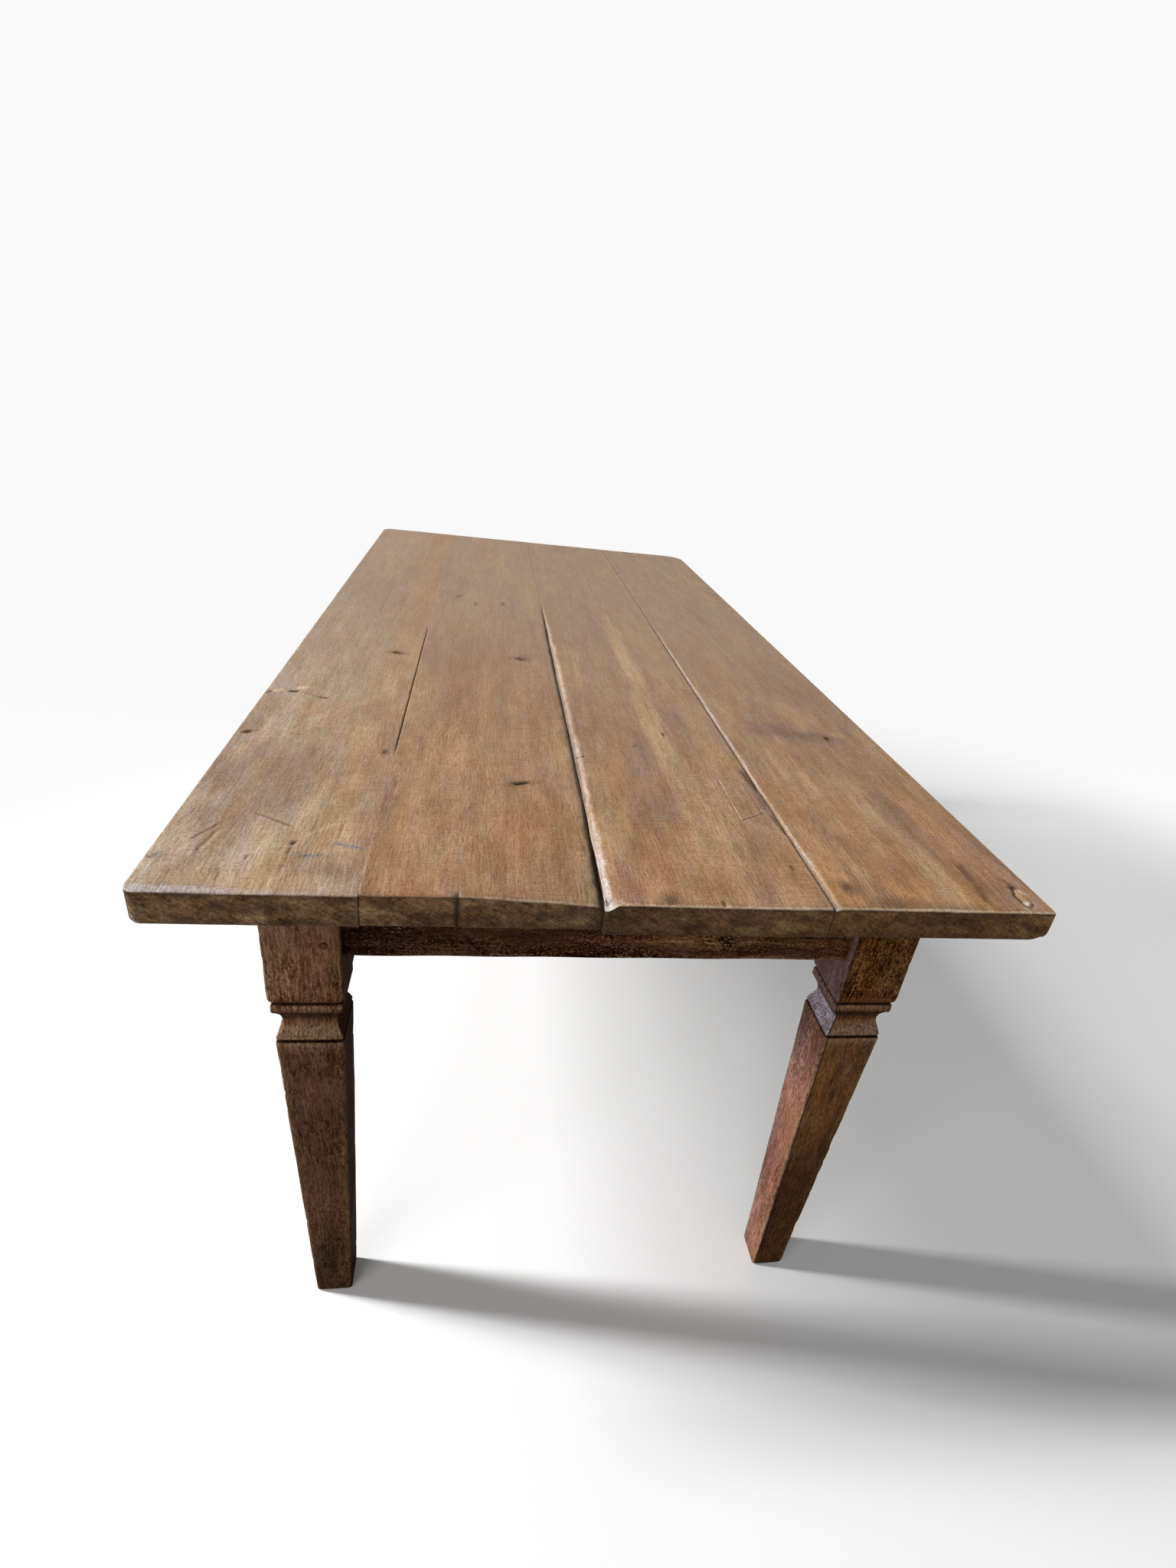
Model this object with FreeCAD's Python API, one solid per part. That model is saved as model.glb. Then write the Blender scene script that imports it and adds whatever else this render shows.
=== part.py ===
import FreeCAD, Part
import os
from math import cos, pi, sin, sqrt

# Refectory table: a top of four planks on four square legs with moulded necks and tapered shafts,
# joined by deep aprons with pegged tenons. Millimetres, +Z up, +Y along the table away from its near end,
# origin on the floor under the middle of the top.

# Table as a whole
table_height = 780.0
top_length = 2000.0
top_thickness = 38.0
side_overhang = 88.0
end_overhang = 83.0
cut_overrun = 5.0

# Top boards, counted from the left as seen from the near end
board_1_width = 204.6
board_2_width = 233.6
board_3_width = 238.7
board_4_width = 257.7
joint_1_gap = 0.8
joint_2_gap = 3.0
joint_3_gap = 1.6
board_1_near_setback = 6.0
board_2_near_setback = 8.0
board_4_near_setback = 1.5

# Arrises and corners of the top
top_arris_round = 2.5
left_under_round = 6.0
right_under_round = 25.0
near_left_corner_round = 12.0
near_right_corner_round = 5.0
far_left_corner_round = 26.0
far_right_corner_round = 45.0

# Worn lips along the joints between boards, width across the board and depth
tight_lip_width = 0.8
tight_lip_depth = 0.8
board_2_right_lip_width = 2.2
board_2_right_lip_depth = 1.6
board_3_left_lip_width = 8.0
board_3_left_lip_depth = 4.0
board_3_right_lip_width = 1.4
board_3_right_lip_depth = 1.2
board_4_left_lip_width = 3.4
board_4_left_lip_depth = 2.2

# Hollow worn into the second board at the near end, deepest at the wide joint
hollow_depth = 8.0
hollow_width = 140.0
hollow_length = 260.0

# Loose tongues in grooves between the boards, stopped short of both ends
tongue_thickness = 9.0
tongue_reach = 13.0
tongue_end_stop = 70.0
tongue_clearance = 0.2

# Patch let into the third board
patch_width = 33.0
patch_length = 107.0
patch_depth = 8.0
patch_edge_distance = 16.0
patch_near_distance = 195.0
patch_clearance = 0.3

# Legs: square block, moulded neck and tapered shaft
leg_size = 84.0
leg_arris_trim = 2.0
leg_block_height = 166.0
leg_block_foot_round = 3.0
leg_quirk_height = 3.0
leg_quirk_depth = 6.0
neck_ring_height = 11.0
neck_ring_inset = 2.5
neck_ring_top_round = 4.0
neck_ring_under_round = 2.5
neck_ring_under_inset = 5.0
neck_hollow_drop = 15.0
neck_hollow_inset = 14.5
neck_hollow_round = 24.0
neck_flare_drop = 29.0
neck_flare_inset = 3.5
neck_flare_round = 2.0
shaft_groove_height = 3.0
shaft_groove_depth = 4.0
shaft_shoulder_round = 1.5
foot_size = 50.0
foot_round = 2.5

# Aprons and their tenons
apron_height = 102.0
apron_thickness = 28.0
apron_setback = 8.0
apron_arris_round = 2.5
tenon_thickness = 12.0
tenon_length = 45.0
tenon_height = 82.0
tenon_bottom_shoulder = 6.0
tenon_clearance = 0.15
mortise_end_space = 0.8

# Pegs through the tenons, driven from the outer faces of the legs
peg_radius = 5.0
peg_length = 44.0
peg_proud = 0.5
peg_shoulder_distance = 18.0
peg_edge_distance = 14.0
peg_tip_taper = 1.5
peg_clearance = 0.1
peg_sides = 10

# Cross rails between the side aprons, under the top
rail_width = 46.0
rail_height = 62.0
rail_arris_round = 3.0
rail_tenon_width = 20.0
rail_tenon_height = 40.0
rail_tenon_length = 14.0
rail_clearance = 0.2
rail_place_shares = (-0.2, 0.2)

# Wooden buttons that hold the top down, each with a tongue in an apron slot
button_width = 32.0
button_body_length = 40.0
button_height = 24.0
button_nose_cut = 8.0
button_tongue_length = 10.0
button_tongue_height = 9.0
button_tongue_drop = 13.0
button_slot_clearance = 0.3
button_slot_play = 3.0
side_button_shares = (-0.37, 0.0, 0.37)

# Countersunk screws of the buttons and rails
screw_head_radius = 4.6
screw_head_height = 3.4
screw_shank_radius = 2.3
screw_tip_length = 6.0
screw_tip_radius = 0.6
screw_clearance = 0.15
screw_sides = 8
button_screw_length = 40.0
rail_screw_length = 52.0
rail_counterbore_radius = 7.0
rail_counterbore_depth = 26.0

# Sides and ends of the table, with the turn that points a button's tongue at each apron
LEFT = NEAR = -1
RIGHT = FAR = 1
side_names = {LEFT: "left", RIGHT: "right"}
end_names = {NEAR: "near", FAR: "far"}
side_turns = {LEFT: 0, RIGHT: 180}
end_turns = {NEAR: 90, FAR: 270}
leg_corners = [(side, end) for side in side_names for end in end_names]

# Places that follow from the sizes above
board_widths = (board_1_width, board_2_width, board_3_width, board_4_width)
joint_gaps = (joint_1_gap, joint_2_gap, joint_3_gap)
near_setbacks = (board_1_near_setback, board_2_near_setback, 0, board_4_near_setback)
top_width = sum(board_widths) + sum(joint_gaps)
top_under = table_height - top_thickness
half_length = top_length / 2
leg_outer_x = top_width / 2 - side_overhang
leg_outer_y = half_length - end_overhang
leg_inner_x = leg_outer_x - leg_size
leg_inner_y = leg_outer_y - leg_size
shaft_size = leg_size - neck_flare_inset * 2
block_under = top_under - leg_block_height
ring_top = block_under - leg_quirk_height
ring_under = ring_top - neck_ring_height
hollow_middle = ring_under - neck_hollow_drop
flare_under = hollow_middle - neck_flare_drop
shaft_shoulder = flare_under - shaft_groove_height
apron_inner = apron_setback + apron_thickness
apron_under = top_under - apron_height
tenon_outer = apron_setback + (apron_thickness - tenon_thickness) / 2
tenon_under = apron_under + tenon_bottom_shoulder
peg_heights = (tenon_under + peg_edge_distance, tenon_under + tenon_height - peg_edge_distance)
peg_inset = leg_size - peg_shoulder_distance
rail_half_length = leg_outer_x - apron_inner
rail_places = [share * top_length for share in rail_place_shares]
rail_screw_seat = top_under - rail_height + rail_counterbore_depth
tongue_middle = top_under + top_thickness / 2
button_under = top_under - button_height
button_screw_reach = button_body_length / 2


def vector(x, y, z):
    return FreeCAD.Vector(x, y, z)


def box(xs, ys, zs):
    """Box between two values on each axis, given in either order."""
    low = vector(min(xs), min(ys), min(zs))
    return Part.makeBox(max(xs) - low.x, max(ys) - low.y, max(zs) - low.z, low)


def corner_box(side, end, across, along, heights):
    """Box in one leg corner, measured inward from the outer faces of that leg."""
    xs = [side * (leg_outer_x - distance) for distance in across]
    ys = [end * (leg_outer_y - distance) for distance in along]
    return box(xs, ys, heights)


def corner_arc(before, here, after, radius):
    """Start, crown and finish of the arc that rounds one corner."""
    back = (before - here).normalize()
    ahead = (after - here).normalize()
    half_sine = (back - ahead).Length / 2
    half_cosine = (back + ahead).Length / 2
    reach = radius * half_cosine / half_sine
    crown = here + (back + ahead).normalize() * (radius / half_sine - radius)
    return here + back * reach, crown, here + ahead * reach


def rounded_face(corners, place):
    """Face inside (a, b, radius) corners, with an arc at each corner that has a radius."""
    points = [place(a, b) for a, b, radius in corners]
    stops = []
    for index, (here, after) in enumerate(zip(points, points[1:] + points[:1])):
        radius = corners[index][2]
        stops.append(corner_arc(points[index - 1], here, after, radius) if radius else (here,))
    edges = []
    for stop, next_stop in zip(stops, stops[1:] + stops[:1]):
        if len(stop) > 1:
            edges.append(Part.Arc(*stop).toShape())
        edges.append(Part.LineSegment(stop[-1], next_stop[0]).toShape())
    return Part.Face(Part.Wire(edges))


def flat_sided(stations, sides, point, direction):
    """Round form with flat sides through (distance, radius) stations along a direction."""
    turns = [2 * pi * side / sides for side in range(sides)]
    rings = []
    for distance, radius in stations:
        rings.append([vector(radius * cos(turn), radius * sin(turn), distance) for turn in turns])
    outlines = [rings[0], rings[-1]]
    for lower, upper in zip(rings, rings[1:]):
        for side in range(sides):
            outlines.append([lower[side - 1], lower[side], upper[side], upper[side - 1]])
    faces = [Part.Face(Part.makePolygon(outline + outline[:1])) for outline in outlines]
    form = Part.makeSolid(Part.makeShell(faces))
    form.Placement = FreeCAD.Placement(point, FreeCAD.Rotation(vector(0, 0, 1), direction))
    return form


def board_edges():
    """Left and right edge of each board, from the left side of the top to the right."""
    edges = []
    left = -top_width / 2
    for width, gap in zip(board_widths, joint_gaps + (0,)):
        edges.append((left, left + width))
        left += width + gap
    return edges


def outer_edge(under_round):
    """Corners of a board's outer long edge, as inward distance, height and radius, from below."""
    return [(0, top_under, under_round), (0, table_height, top_arris_round)]


def joint_edge(lip_width, lip_depth):
    """Corners of a board's edge at a joint, with its worn lip, from below."""
    return [(0, top_under, 0), (0, table_height - lip_depth, 0), (lip_width, table_height, 0)]


def plain_board(edges, near_setback, left_corners, right_corners, near_rounds, far_rounds):
    """Board as the meeting of its cross section, its plan and its side view."""
    left, right = edges
    near = -half_length + near_setback
    far = half_length
    section = [(left + inset, height, radius) for inset, height, radius in reversed(left_corners)]
    section += [(right - inset, height, radius) for inset, height, radius in right_corners]
    plan = [(left, near, near_rounds[0]), (right, near, near_rounds[1])]
    plan += [(right, far, far_rounds[1]), (left, far, far_rounds[0])]
    view = [(near, top_under, 0), (far, top_under, 0)]
    view += [(far, table_height, top_arris_round), (near, table_height, top_arris_round)]
    along = rounded_face(section, lambda x, z: vector(x, near, z)).extrude(vector(0, far - near, 0))
    down = rounded_face(plan, lambda x, y: vector(x, y, top_under)).extrude(vector(0, 0, top_thickness))
    across = rounded_face(view, lambda y, z: vector(left, y, z)).extrude(vector(right - left, 0, 0))
    return along.common(down).common(across)


def tongue(joint, clearance=0):
    """Loose tongue of one joint, or its groove when a clearance is given."""
    edges = board_edges()
    left = edges[joint][1] - tongue_reach - clearance
    right = edges[joint + 1][0] + tongue_reach + clearance
    reach = half_length - tongue_end_stop + clearance
    half = tongue_thickness / 2 + clearance
    return box((left, right), (-reach, reach), (tongue_middle - half, tongue_middle + half))


def patch(clearance=0):
    """Patch of the third board, or its pocket when a clearance is given."""
    right = board_edges()[2][1] - patch_edge_distance
    left = right - patch_width
    near = -half_length + patch_near_distance
    far = near + patch_length
    top = table_height + (cut_overrun if clearance else 0)
    return box((left - clearance, right + clearance), (near - clearance, far + clearance),
               (table_height - patch_depth, top))


def worn_hollow():
    """Large tilted cylinder that scoops the second board at its near end beside the wide joint."""
    radius = (hollow_width ** 2 + hollow_depth ** 2) / (hollow_depth * 2)
    slope = hollow_depth / hollow_length
    deepest = board_edges()[1][1]
    axis_height = table_height - hollow_depth + radius
    start = vector(deepest, -half_length - cut_overrun, axis_height - slope * cut_overrun)
    return Part.makeCylinder(radius, hollow_length * 2, start, vector(0, hollow_length, hollow_depth))


def top_boards():
    """The four boards with their grooves, screw holes, worn hollow and pocket."""
    tight = joint_edge(tight_lip_width, tight_lip_depth)
    sides = (
        (outer_edge(left_under_round), tight),
        (tight, joint_edge(board_2_right_lip_width, board_2_right_lip_depth)),
        (joint_edge(board_3_left_lip_width, board_3_left_lip_depth),
         joint_edge(board_3_right_lip_width, board_3_right_lip_depth)),
        (joint_edge(board_4_left_lip_width, board_4_left_lip_depth), outer_edge(right_under_round)),
    )
    near_rounds = ((near_left_corner_round, 0), (0, 0), (0, 0), (0, near_right_corner_round))
    far_rounds = ((far_left_corner_round, 0), (0, 0), (0, 0), (0, far_right_corner_round))
    cuts = [tongue(joint, tongue_clearance) for joint in range(len(joint_gaps))]
    cuts += [button_screw(turn, point, screw_clearance) for name, turn, point in button_places()]
    cuts += [rail_screw(x, y, screw_clearance) for x, y in rail_screw_points()]
    boards = []
    for index, edges in enumerate(board_edges()):
        board = plain_board(edges, near_setbacks[index], *sides[index], near_rounds[index], far_rounds[index])
        boards.append(board.cut(cuts))
    boards[1] = boards[1].cut(worn_hollow())
    boards[2] = boards[2].cut(patch(patch_clearance))
    return boards


def leg_outline():
    """Half outline of a leg from the foot up, as half width, height and corner radius."""
    half = leg_size / 2
    shaft_half = shaft_size / 2
    return [
        (foot_size / 2, 0, foot_round),
        (shaft_half, shaft_shoulder, shaft_shoulder_round),
        (shaft_half - shaft_groove_depth, shaft_shoulder, 0),
        (shaft_half - shaft_groove_depth, flare_under, 0),
        (shaft_half, flare_under, neck_flare_round),
        (half - neck_hollow_inset, hollow_middle, neck_hollow_round),
        (half - neck_ring_under_inset, ring_under, 0),
        (half - neck_ring_inset, ring_under + neck_ring_under_round, neck_ring_under_round),
        (half - neck_ring_inset, ring_top, neck_ring_top_round),
        (half - leg_quirk_depth, ring_top, 0),
        (half - leg_quirk_depth, block_under, 0),
        (half, block_under, leg_block_foot_round),
        (half, top_under, 0),
    ]


def arris_reach(size):
    """Distance from the middle of a square leg to its trimmed arris."""
    return size / sqrt(2) - leg_arris_trim


def leg_envelope(middle):
    """Round block and tapered shaft that trim the upright arrises of a leg."""
    shoulder = middle + vector(0, 0, shaft_shoulder)
    block = Part.makeCylinder(arris_reach(leg_size), top_under - shaft_shoulder, shoulder)
    shaft = Part.makeCone(arris_reach(foot_size), arris_reach(shaft_size), shaft_shoulder, middle)
    return block.fuse(shaft)


def leg(side, end):
    """Leg with the same moulded outline on all four faces, its mortises and peg holes."""
    half = leg_size / 2
    middle = vector(side * (leg_outer_x - half), end * (leg_outer_y - half), 0)
    outline = leg_outline()
    outline += [(-a, b, radius) for a, b, radius in reversed(outline)]
    front = rounded_face(outline, lambda a, b: vector(middle.x + a, middle.y - half, b))
    flank = rounded_face(outline, lambda a, b: vector(middle.x - half, middle.y + a, b))
    body = front.extrude(vector(0, leg_size, 0)).common(flank.extrude(vector(leg_size, 0, 0)))
    body = body.common(leg_envelope(middle))
    thickness = (tenon_outer - tenon_clearance, tenon_outer + tenon_thickness + tenon_clearance)
    depth = (leg_size - tenon_length - mortise_end_space, leg_size + cut_overrun)
    heights = (tenon_under - tenon_clearance, tenon_under + tenon_height + tenon_clearance)
    cuts = [corner_box(side, end, depth, thickness, heights), corner_box(side, end, thickness, depth, heights)]
    pegs = end_peg_places(side, end) + side_peg_places(side, end)
    cuts += [peg(point, direction, peg_clearance) for point, direction in pegs]
    return body.cut(cuts)


def end_peg_places(side, end):
    """Point and inward direction of the pegs that lock the end apron's tenon in one leg."""
    x = side * (leg_outer_x - peg_inset)
    return [(vector(x, end * leg_outer_y, height), vector(0, -end, 0)) for height in peg_heights]


def side_peg_places(side, end):
    """Point and inward direction of the pegs that lock the side apron's tenon in one leg."""
    y = end * (leg_outer_y - peg_inset)
    return [(vector(side * leg_outer_x, y, height), vector(-side, 0, 0)) for height in peg_heights]


def peg(point, direction, clearance=0):
    """Peg with a tapered inner end, or its hole when a clearance is given."""
    radius = peg_radius + clearance
    finish = peg_length + clearance
    stations = [(-cut_overrun if clearance else -peg_proud, radius), (finish - peg_tip_taper, radius)]
    stations.append((finish, radius - peg_tip_taper))
    return flat_sided(stations, peg_sides, point, direction)


def tenon_spans():
    """Spans of an apron tenon: into the leg, through its thickness and up its height."""
    into = (leg_size - tenon_length, leg_size)
    thickness = (tenon_outer, tenon_outer + tenon_thickness)
    heights = (tenon_under, tenon_under + tenon_height)
    return into, thickness, heights


def apron(place, run, tenons, cuts):
    """Apron: section with rounded lower arrises run from leg to leg, with its tenons and cuts."""
    section = [(apron_setback, apron_under, apron_arris_round), (apron_inner, apron_under, apron_arris_round)]
    section += [(apron_inner, top_under, 0), (apron_setback, top_under, 0)]
    return rounded_face(section, place).extrude(run).fuse(tenons).removeSplitter().cut(cuts)


def end_apron(end):
    """Apron across one end of the table."""
    into, thickness, heights = tenon_spans()
    tenons = [corner_box(side, end, into, thickness, heights) for side in side_names]
    pegs = [place for side in side_names for place in end_peg_places(side, end)]
    cuts = [peg(point, direction, peg_clearance) for point, direction in pegs]
    cuts += [button_slot(turn, point) for name, turn, point in button_places() if turn == end_turns[end]]
    place = lambda a, z: vector(-leg_inner_x, end * (leg_outer_y - a), z)
    return apron(place, vector(leg_inner_x * 2, 0, 0), tenons, cuts)


def side_apron(side):
    """Apron along one side of the table, with mortises for the cross rails."""
    into, thickness, heights = tenon_spans()
    tenons = [corner_box(side, end, thickness, into, heights) for end in end_names]
    pegs = [place for end in end_names for place in side_peg_places(side, end)]
    cuts = [peg(point, direction, peg_clearance) for point, direction in pegs]
    cuts += [button_slot(turn, point) for name, turn, point in button_places() if turn == side_turns[side]]
    cuts += [rail_tenon(side, y, rail_clearance) for y in rail_places]
    place = lambda a, z: vector(side * (leg_outer_x - a), -leg_inner_y, z)
    return apron(place, vector(0, leg_inner_y * 2, 0), tenons, cuts)


def rail_tenon(side, y, clearance=0):
    """Stub tenon of a cross rail, or its mortise when a clearance is given."""
    middle = top_under - rail_height / 2
    half_width = rail_tenon_width / 2 + clearance
    half_height = rail_tenon_height / 2 + clearance
    xs = (side * rail_half_length, side * (rail_half_length + rail_tenon_length + clearance))
    return box(xs, (y - half_width, y + half_width), (middle - half_height, middle + half_height))


def cross_rail(y):
    """Rail under the top from side apron to side apron, with counterbored screw holes."""
    half = rail_width / 2
    under = top_under - rail_height
    section = [(y - half, under, rail_arris_round), (y + half, under, rail_arris_round)]
    section += [(y + half, top_under, 0), (y - half, top_under, 0)]
    face = rounded_face(section, lambda a, z: vector(-rail_half_length, a, z))
    body = face.extrude(vector(rail_half_length * 2, 0, 0))
    body = body.fuse([rail_tenon(side, y) for side in side_names]).removeSplitter()
    cuts = []
    for screw_x, screw_y in rail_screw_points():
        if screw_y == y:
            cuts.append(rail_screw(screw_x, y, screw_clearance))
            bore = [(-cut_overrun, rail_counterbore_radius), (rail_counterbore_depth, rail_counterbore_radius)]
            cuts.append(flat_sided(bore, screw_sides, vector(screw_x, y, under), vector(0, 0, 1)))
    return body.cut(cuts)


def button_places():
    """Name of each button, the turn that points its tongue at its apron, and its point on the apron's face."""
    places = []
    for side in side_names:
        for number, share in enumerate(side_button_shares, start=1):
            point = vector(side * rail_half_length, share * leg_inner_y * 2, 0)
            places.append((f"top_button_{side_names[side]}_{number}", side_turns[side], point))
    for end in end_names:
        for number, board in enumerate(board_edges()[1:3], start=1):
            point = vector(sum(board) / 2, end * (leg_outer_y - apron_inner), 0)
            places.append((f"top_button_{end_names[end]}_{number}", end_turns[end], point))
    return places


def turned(shape, turn, point):
    """Shape made against a left apron at the origin, turned and moved to its own apron."""
    shape.rotate(vector(0, 0, 0), vector(0, 0, 1), turn)
    shape.translate(point)
    return shape


def button(turn, point):
    """Button with its screw hole: a block with a tongue towards the apron and a sloped nose."""
    tongue_top = top_under - button_tongue_drop
    tongue_under = tongue_top - button_tongue_height
    nose = button_body_length
    outline = [(-button_tongue_length, tongue_under, 0), (0, tongue_under, 0), (0, button_under, 0)]
    outline += [(nose - button_nose_cut, button_under, 0), (nose, button_under + button_nose_cut, 0)]
    outline += [(nose, top_under, 0), (0, top_under, 0), (0, tongue_top, 0), (-button_tongue_length, tongue_top, 0)]
    face = rounded_face(outline, lambda x, z: vector(x, -button_width / 2, z))
    block = turned(face.extrude(vector(0, button_width, 0)), turn, point)
    return block.cut(button_screw(turn, point, screw_clearance))


def button_slot(turn, point):
    """Slot in the apron for one button's tongue, with play along the apron."""
    half = button_width / 2 + button_slot_play
    top = top_under - button_tongue_drop + button_slot_clearance
    under = top - button_tongue_height - button_slot_play
    slot = box((-button_tongue_length - button_slot_play, cut_overrun), (-half, half), (under, top))
    return turned(slot, turn, point)


def screw(seat, length, clearance):
    """Countersunk screw pointing up from its seat, or its hole when a clearance is given."""
    shank = screw_shank_radius + clearance
    stations = [(0, screw_head_radius + clearance), (screw_head_height + clearance, shank)]
    stations += [(length - screw_tip_length, shank), (length + clearance, screw_tip_radius + clearance)]
    return flat_sided(stations, screw_sides, vector(0, 0, seat), vector(0, 0, 1))


def button_screw(turn, point, clearance=0):
    """Screw of one button, or its hole when a clearance is given."""
    form = screw(button_under, button_screw_length, clearance)
    form.translate(vector(button_screw_reach, 0, 0))
    return turned(form, turn, point)


def rail_screw(x, y, clearance=0):
    """Screw up through a cross rail into a board, or its hole when a clearance is given."""
    form = screw(rail_screw_seat, rail_screw_length, clearance)
    form.translate(vector(x, y, 0))
    return form


def rail_screw_points():
    """Place of each screw that goes up through a cross rail: one in each board, amid its stretch of the rail."""
    points = []
    for y in rail_places:
        for left, right in board_edges():
            held_left = max(left, -rail_half_length)
            held_right = min(right, rail_half_length)
            points.append(((held_left + held_right) / 2, y))
    return points


def all_parts():
    """Every piece of the table by name."""
    parts = {f"top_board_{number}": board for number, board in enumerate(top_boards(), start=1)}
    for joint in range(len(joint_gaps)):
        parts[f"board_tongue_{joint + 1}"] = tongue(joint)
    parts["board_patch"] = patch()
    for side, end in leg_corners:
        parts[f"leg_{end_names[end]}_{side_names[side]}"] = leg(side, end)
    for end in end_names:
        parts[f"apron_{end_names[end]}_end"] = end_apron(end)
    for side in side_names:
        parts[f"apron_{side_names[side]}_side"] = side_apron(side)
    for end, y in zip(end_names, rail_places):
        parts[f"cross_rail_{end_names[end]}"] = cross_rail(y)
    for name, turn, point in button_places():
        parts[name] = button(turn, point)
    pegs = [place for corner in leg_corners for place in end_peg_places(*corner) + side_peg_places(*corner)]
    parts["tenon_pegs"] = Part.makeCompound([peg(point, direction) for point, direction in pegs])
    parts["button_screws"] = Part.makeCompound([button_screw(turn, point) for name, turn, point in button_places()])
    parts["rail_screws"] = Part.makeCompound([rail_screw(x, y) for x, y in rail_screw_points()])
    return parts


os.makedirs("parts", exist_ok=True)
for part_name, part_shape in all_parts().items():
    part_shape.exportStep(os.path.join("parts", part_name + ".step"))
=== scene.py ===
import math
from collections import namedtuple
from itertools import product

import bpy
import numpy as np
from mathutils import Matrix, Vector


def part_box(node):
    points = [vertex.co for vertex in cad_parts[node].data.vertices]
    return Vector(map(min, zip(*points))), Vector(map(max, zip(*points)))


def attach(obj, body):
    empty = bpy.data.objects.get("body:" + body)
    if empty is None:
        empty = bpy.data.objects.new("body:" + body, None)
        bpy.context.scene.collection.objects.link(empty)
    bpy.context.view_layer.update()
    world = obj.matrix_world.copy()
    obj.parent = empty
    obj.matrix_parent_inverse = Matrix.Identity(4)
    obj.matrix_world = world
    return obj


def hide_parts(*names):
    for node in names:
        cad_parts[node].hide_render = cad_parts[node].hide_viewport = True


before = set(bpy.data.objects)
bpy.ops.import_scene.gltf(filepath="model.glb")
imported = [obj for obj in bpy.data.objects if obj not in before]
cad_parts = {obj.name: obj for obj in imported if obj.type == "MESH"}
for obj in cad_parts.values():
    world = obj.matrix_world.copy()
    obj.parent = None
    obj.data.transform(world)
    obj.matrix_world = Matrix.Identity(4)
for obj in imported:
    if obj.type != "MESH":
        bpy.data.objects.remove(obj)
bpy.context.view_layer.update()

# Looks of a refectory table: worn plank top, dark legs and aprons. Shapes are worked out in millimetres in the
# row frame: +X to the right and +Y away from the near end, with +Z up from the floor.
MM = 0.001
BODY = "root"
TINY = 1e-9

# Wood tones, in linear colour
TONES = {
    "silvered": (0.415, 0.320, 0.240),
    "honey": (0.330, 0.203, 0.120),
    # Also painted sheen, greying the top towards its far end
    "greyed_and_sheen": (0.310, 0.222, 0.160),
    "amber": (0.405, 0.220, 0.098),
    "russet": (0.310, 0.165, 0.090),
    "straw": (0.440, 0.300, 0.165),
    # Also a painted highlight on the dead knot's ridge
    "sapwood_and_highlight": (0.470, 0.330, 0.190),
    "plum": (0.235, 0.150, 0.112),
    "umber": (0.150, 0.083, 0.042),
    # Also painted shade in the legs' grooves and hollows, in joint gaps and under the ends' arris
    "soot_and_shade": (0.022, 0.014, 0.009),
    # Also painted highlights on the near arris, on proud splinters and on the dead knot
    "rubbed_and_highlight": (0.500, 0.385, 0.265),
    # Also painted highlights on the first board's near arris and on the dead knot
    "bloom_and_highlight": (0.480, 0.425, 0.415),
    "slate": (0.200, 0.175, 0.165),
    "moss": (0.185, 0.150, 0.095),
    "end_grain": (0.118, 0.068, 0.033),
    "end_dark": (0.040, 0.021, 0.010),
    "end_ochre": (0.200, 0.130, 0.062),
    "walnut": (0.158, 0.074, 0.044),
    # Also painted shade on the legs and aprons
    "walnut_dark": (0.042, 0.019, 0.010),
    "walnut_red": (0.180, 0.075, 0.046),
    # Also painted highlights on the fillets of the legs' necks
    "walnut_rubbed_and_lit": (0.290, 0.195, 0.125),
    # Painted key light on the legs' lit side
    "rose": (0.410, 0.190, 0.138),
    # Painted highlight on the lit side of the legs' necks
    "lilac": (0.520, 0.475, 0.600),
    # Painted key light on the legs' lit side, higher up and towards the back
    "mauve": (0.225, 0.150, 0.165),
    "ochre": (0.260, 0.145, 0.048),
    "olive": (0.160, 0.070, 0.021),
    "raw": (0.330, 0.215, 0.120),
}

# Factors of the repeatable noise, and the share that each finer octave of it adds
HASH_STEPS = (73856093, 19349663, 83492791)
HASH_MIX = 1274126177
HASH_MASK = 0x7FFFFFFF
OCTAVE_FALL = 0.6


def smooth(low, high, value):
    """Soft step from 0 at low to 1 at high."""
    share = np.clip((value - low) / (high - low), 0.0, 1.0)
    return share * share * (3.0 - 2.0 * share)


def fade(low, high, value):
    """Soft step from 1 at low to 0 at high."""
    return 1.0 - smooth(low, high, value)


def bell(middle, width, value):
    """1 where the value is at the middle, falling off on both sides of it."""
    return np.exp(-((value - middle) / width) ** 2)


def lattice(ix, iy, seed):
    """Repeatable values from -1 to 1 on whole-number points."""
    mixed = (ix * HASH_STEPS[0] + iy * HASH_STEPS[1] + seed * HASH_STEPS[2]) & HASH_MASK
    mixed = ((mixed ^ (mixed >> 13)) * HASH_MIX) & HASH_MASK
    return ((mixed ^ (mixed >> 16)) & 0xFFFF) / 32767.5 - 1.0


def waves(u, v, size_u, size_v, seed, octaves=2):
    """Smooth noise from about -1 to 1, with features of about the given sizes."""
    total = np.zeros(np.shape(u))
    for octave in range(octaves):
        a, b = u / size_u * 2 ** octave, v / size_v * 2 ** octave
        ia, ib = np.floor(a).astype(np.int64), np.floor(b).astype(np.int64)
        fa, fb = smooth(0, 1, a - ia), smooth(0, 1, b - ib)
        near = lattice(ia, ib, seed + octave) * (1 - fa) + lattice(ia + 1, ib, seed + octave) * fa
        far = lattice(ia, ib + 1, seed + octave) * (1 - fa) + lattice(ia + 1, ib + 1, seed + octave) * fa
        total += (near * (1 - fb) + far * fb) * OCTAVE_FALL ** octave
    return total


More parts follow.
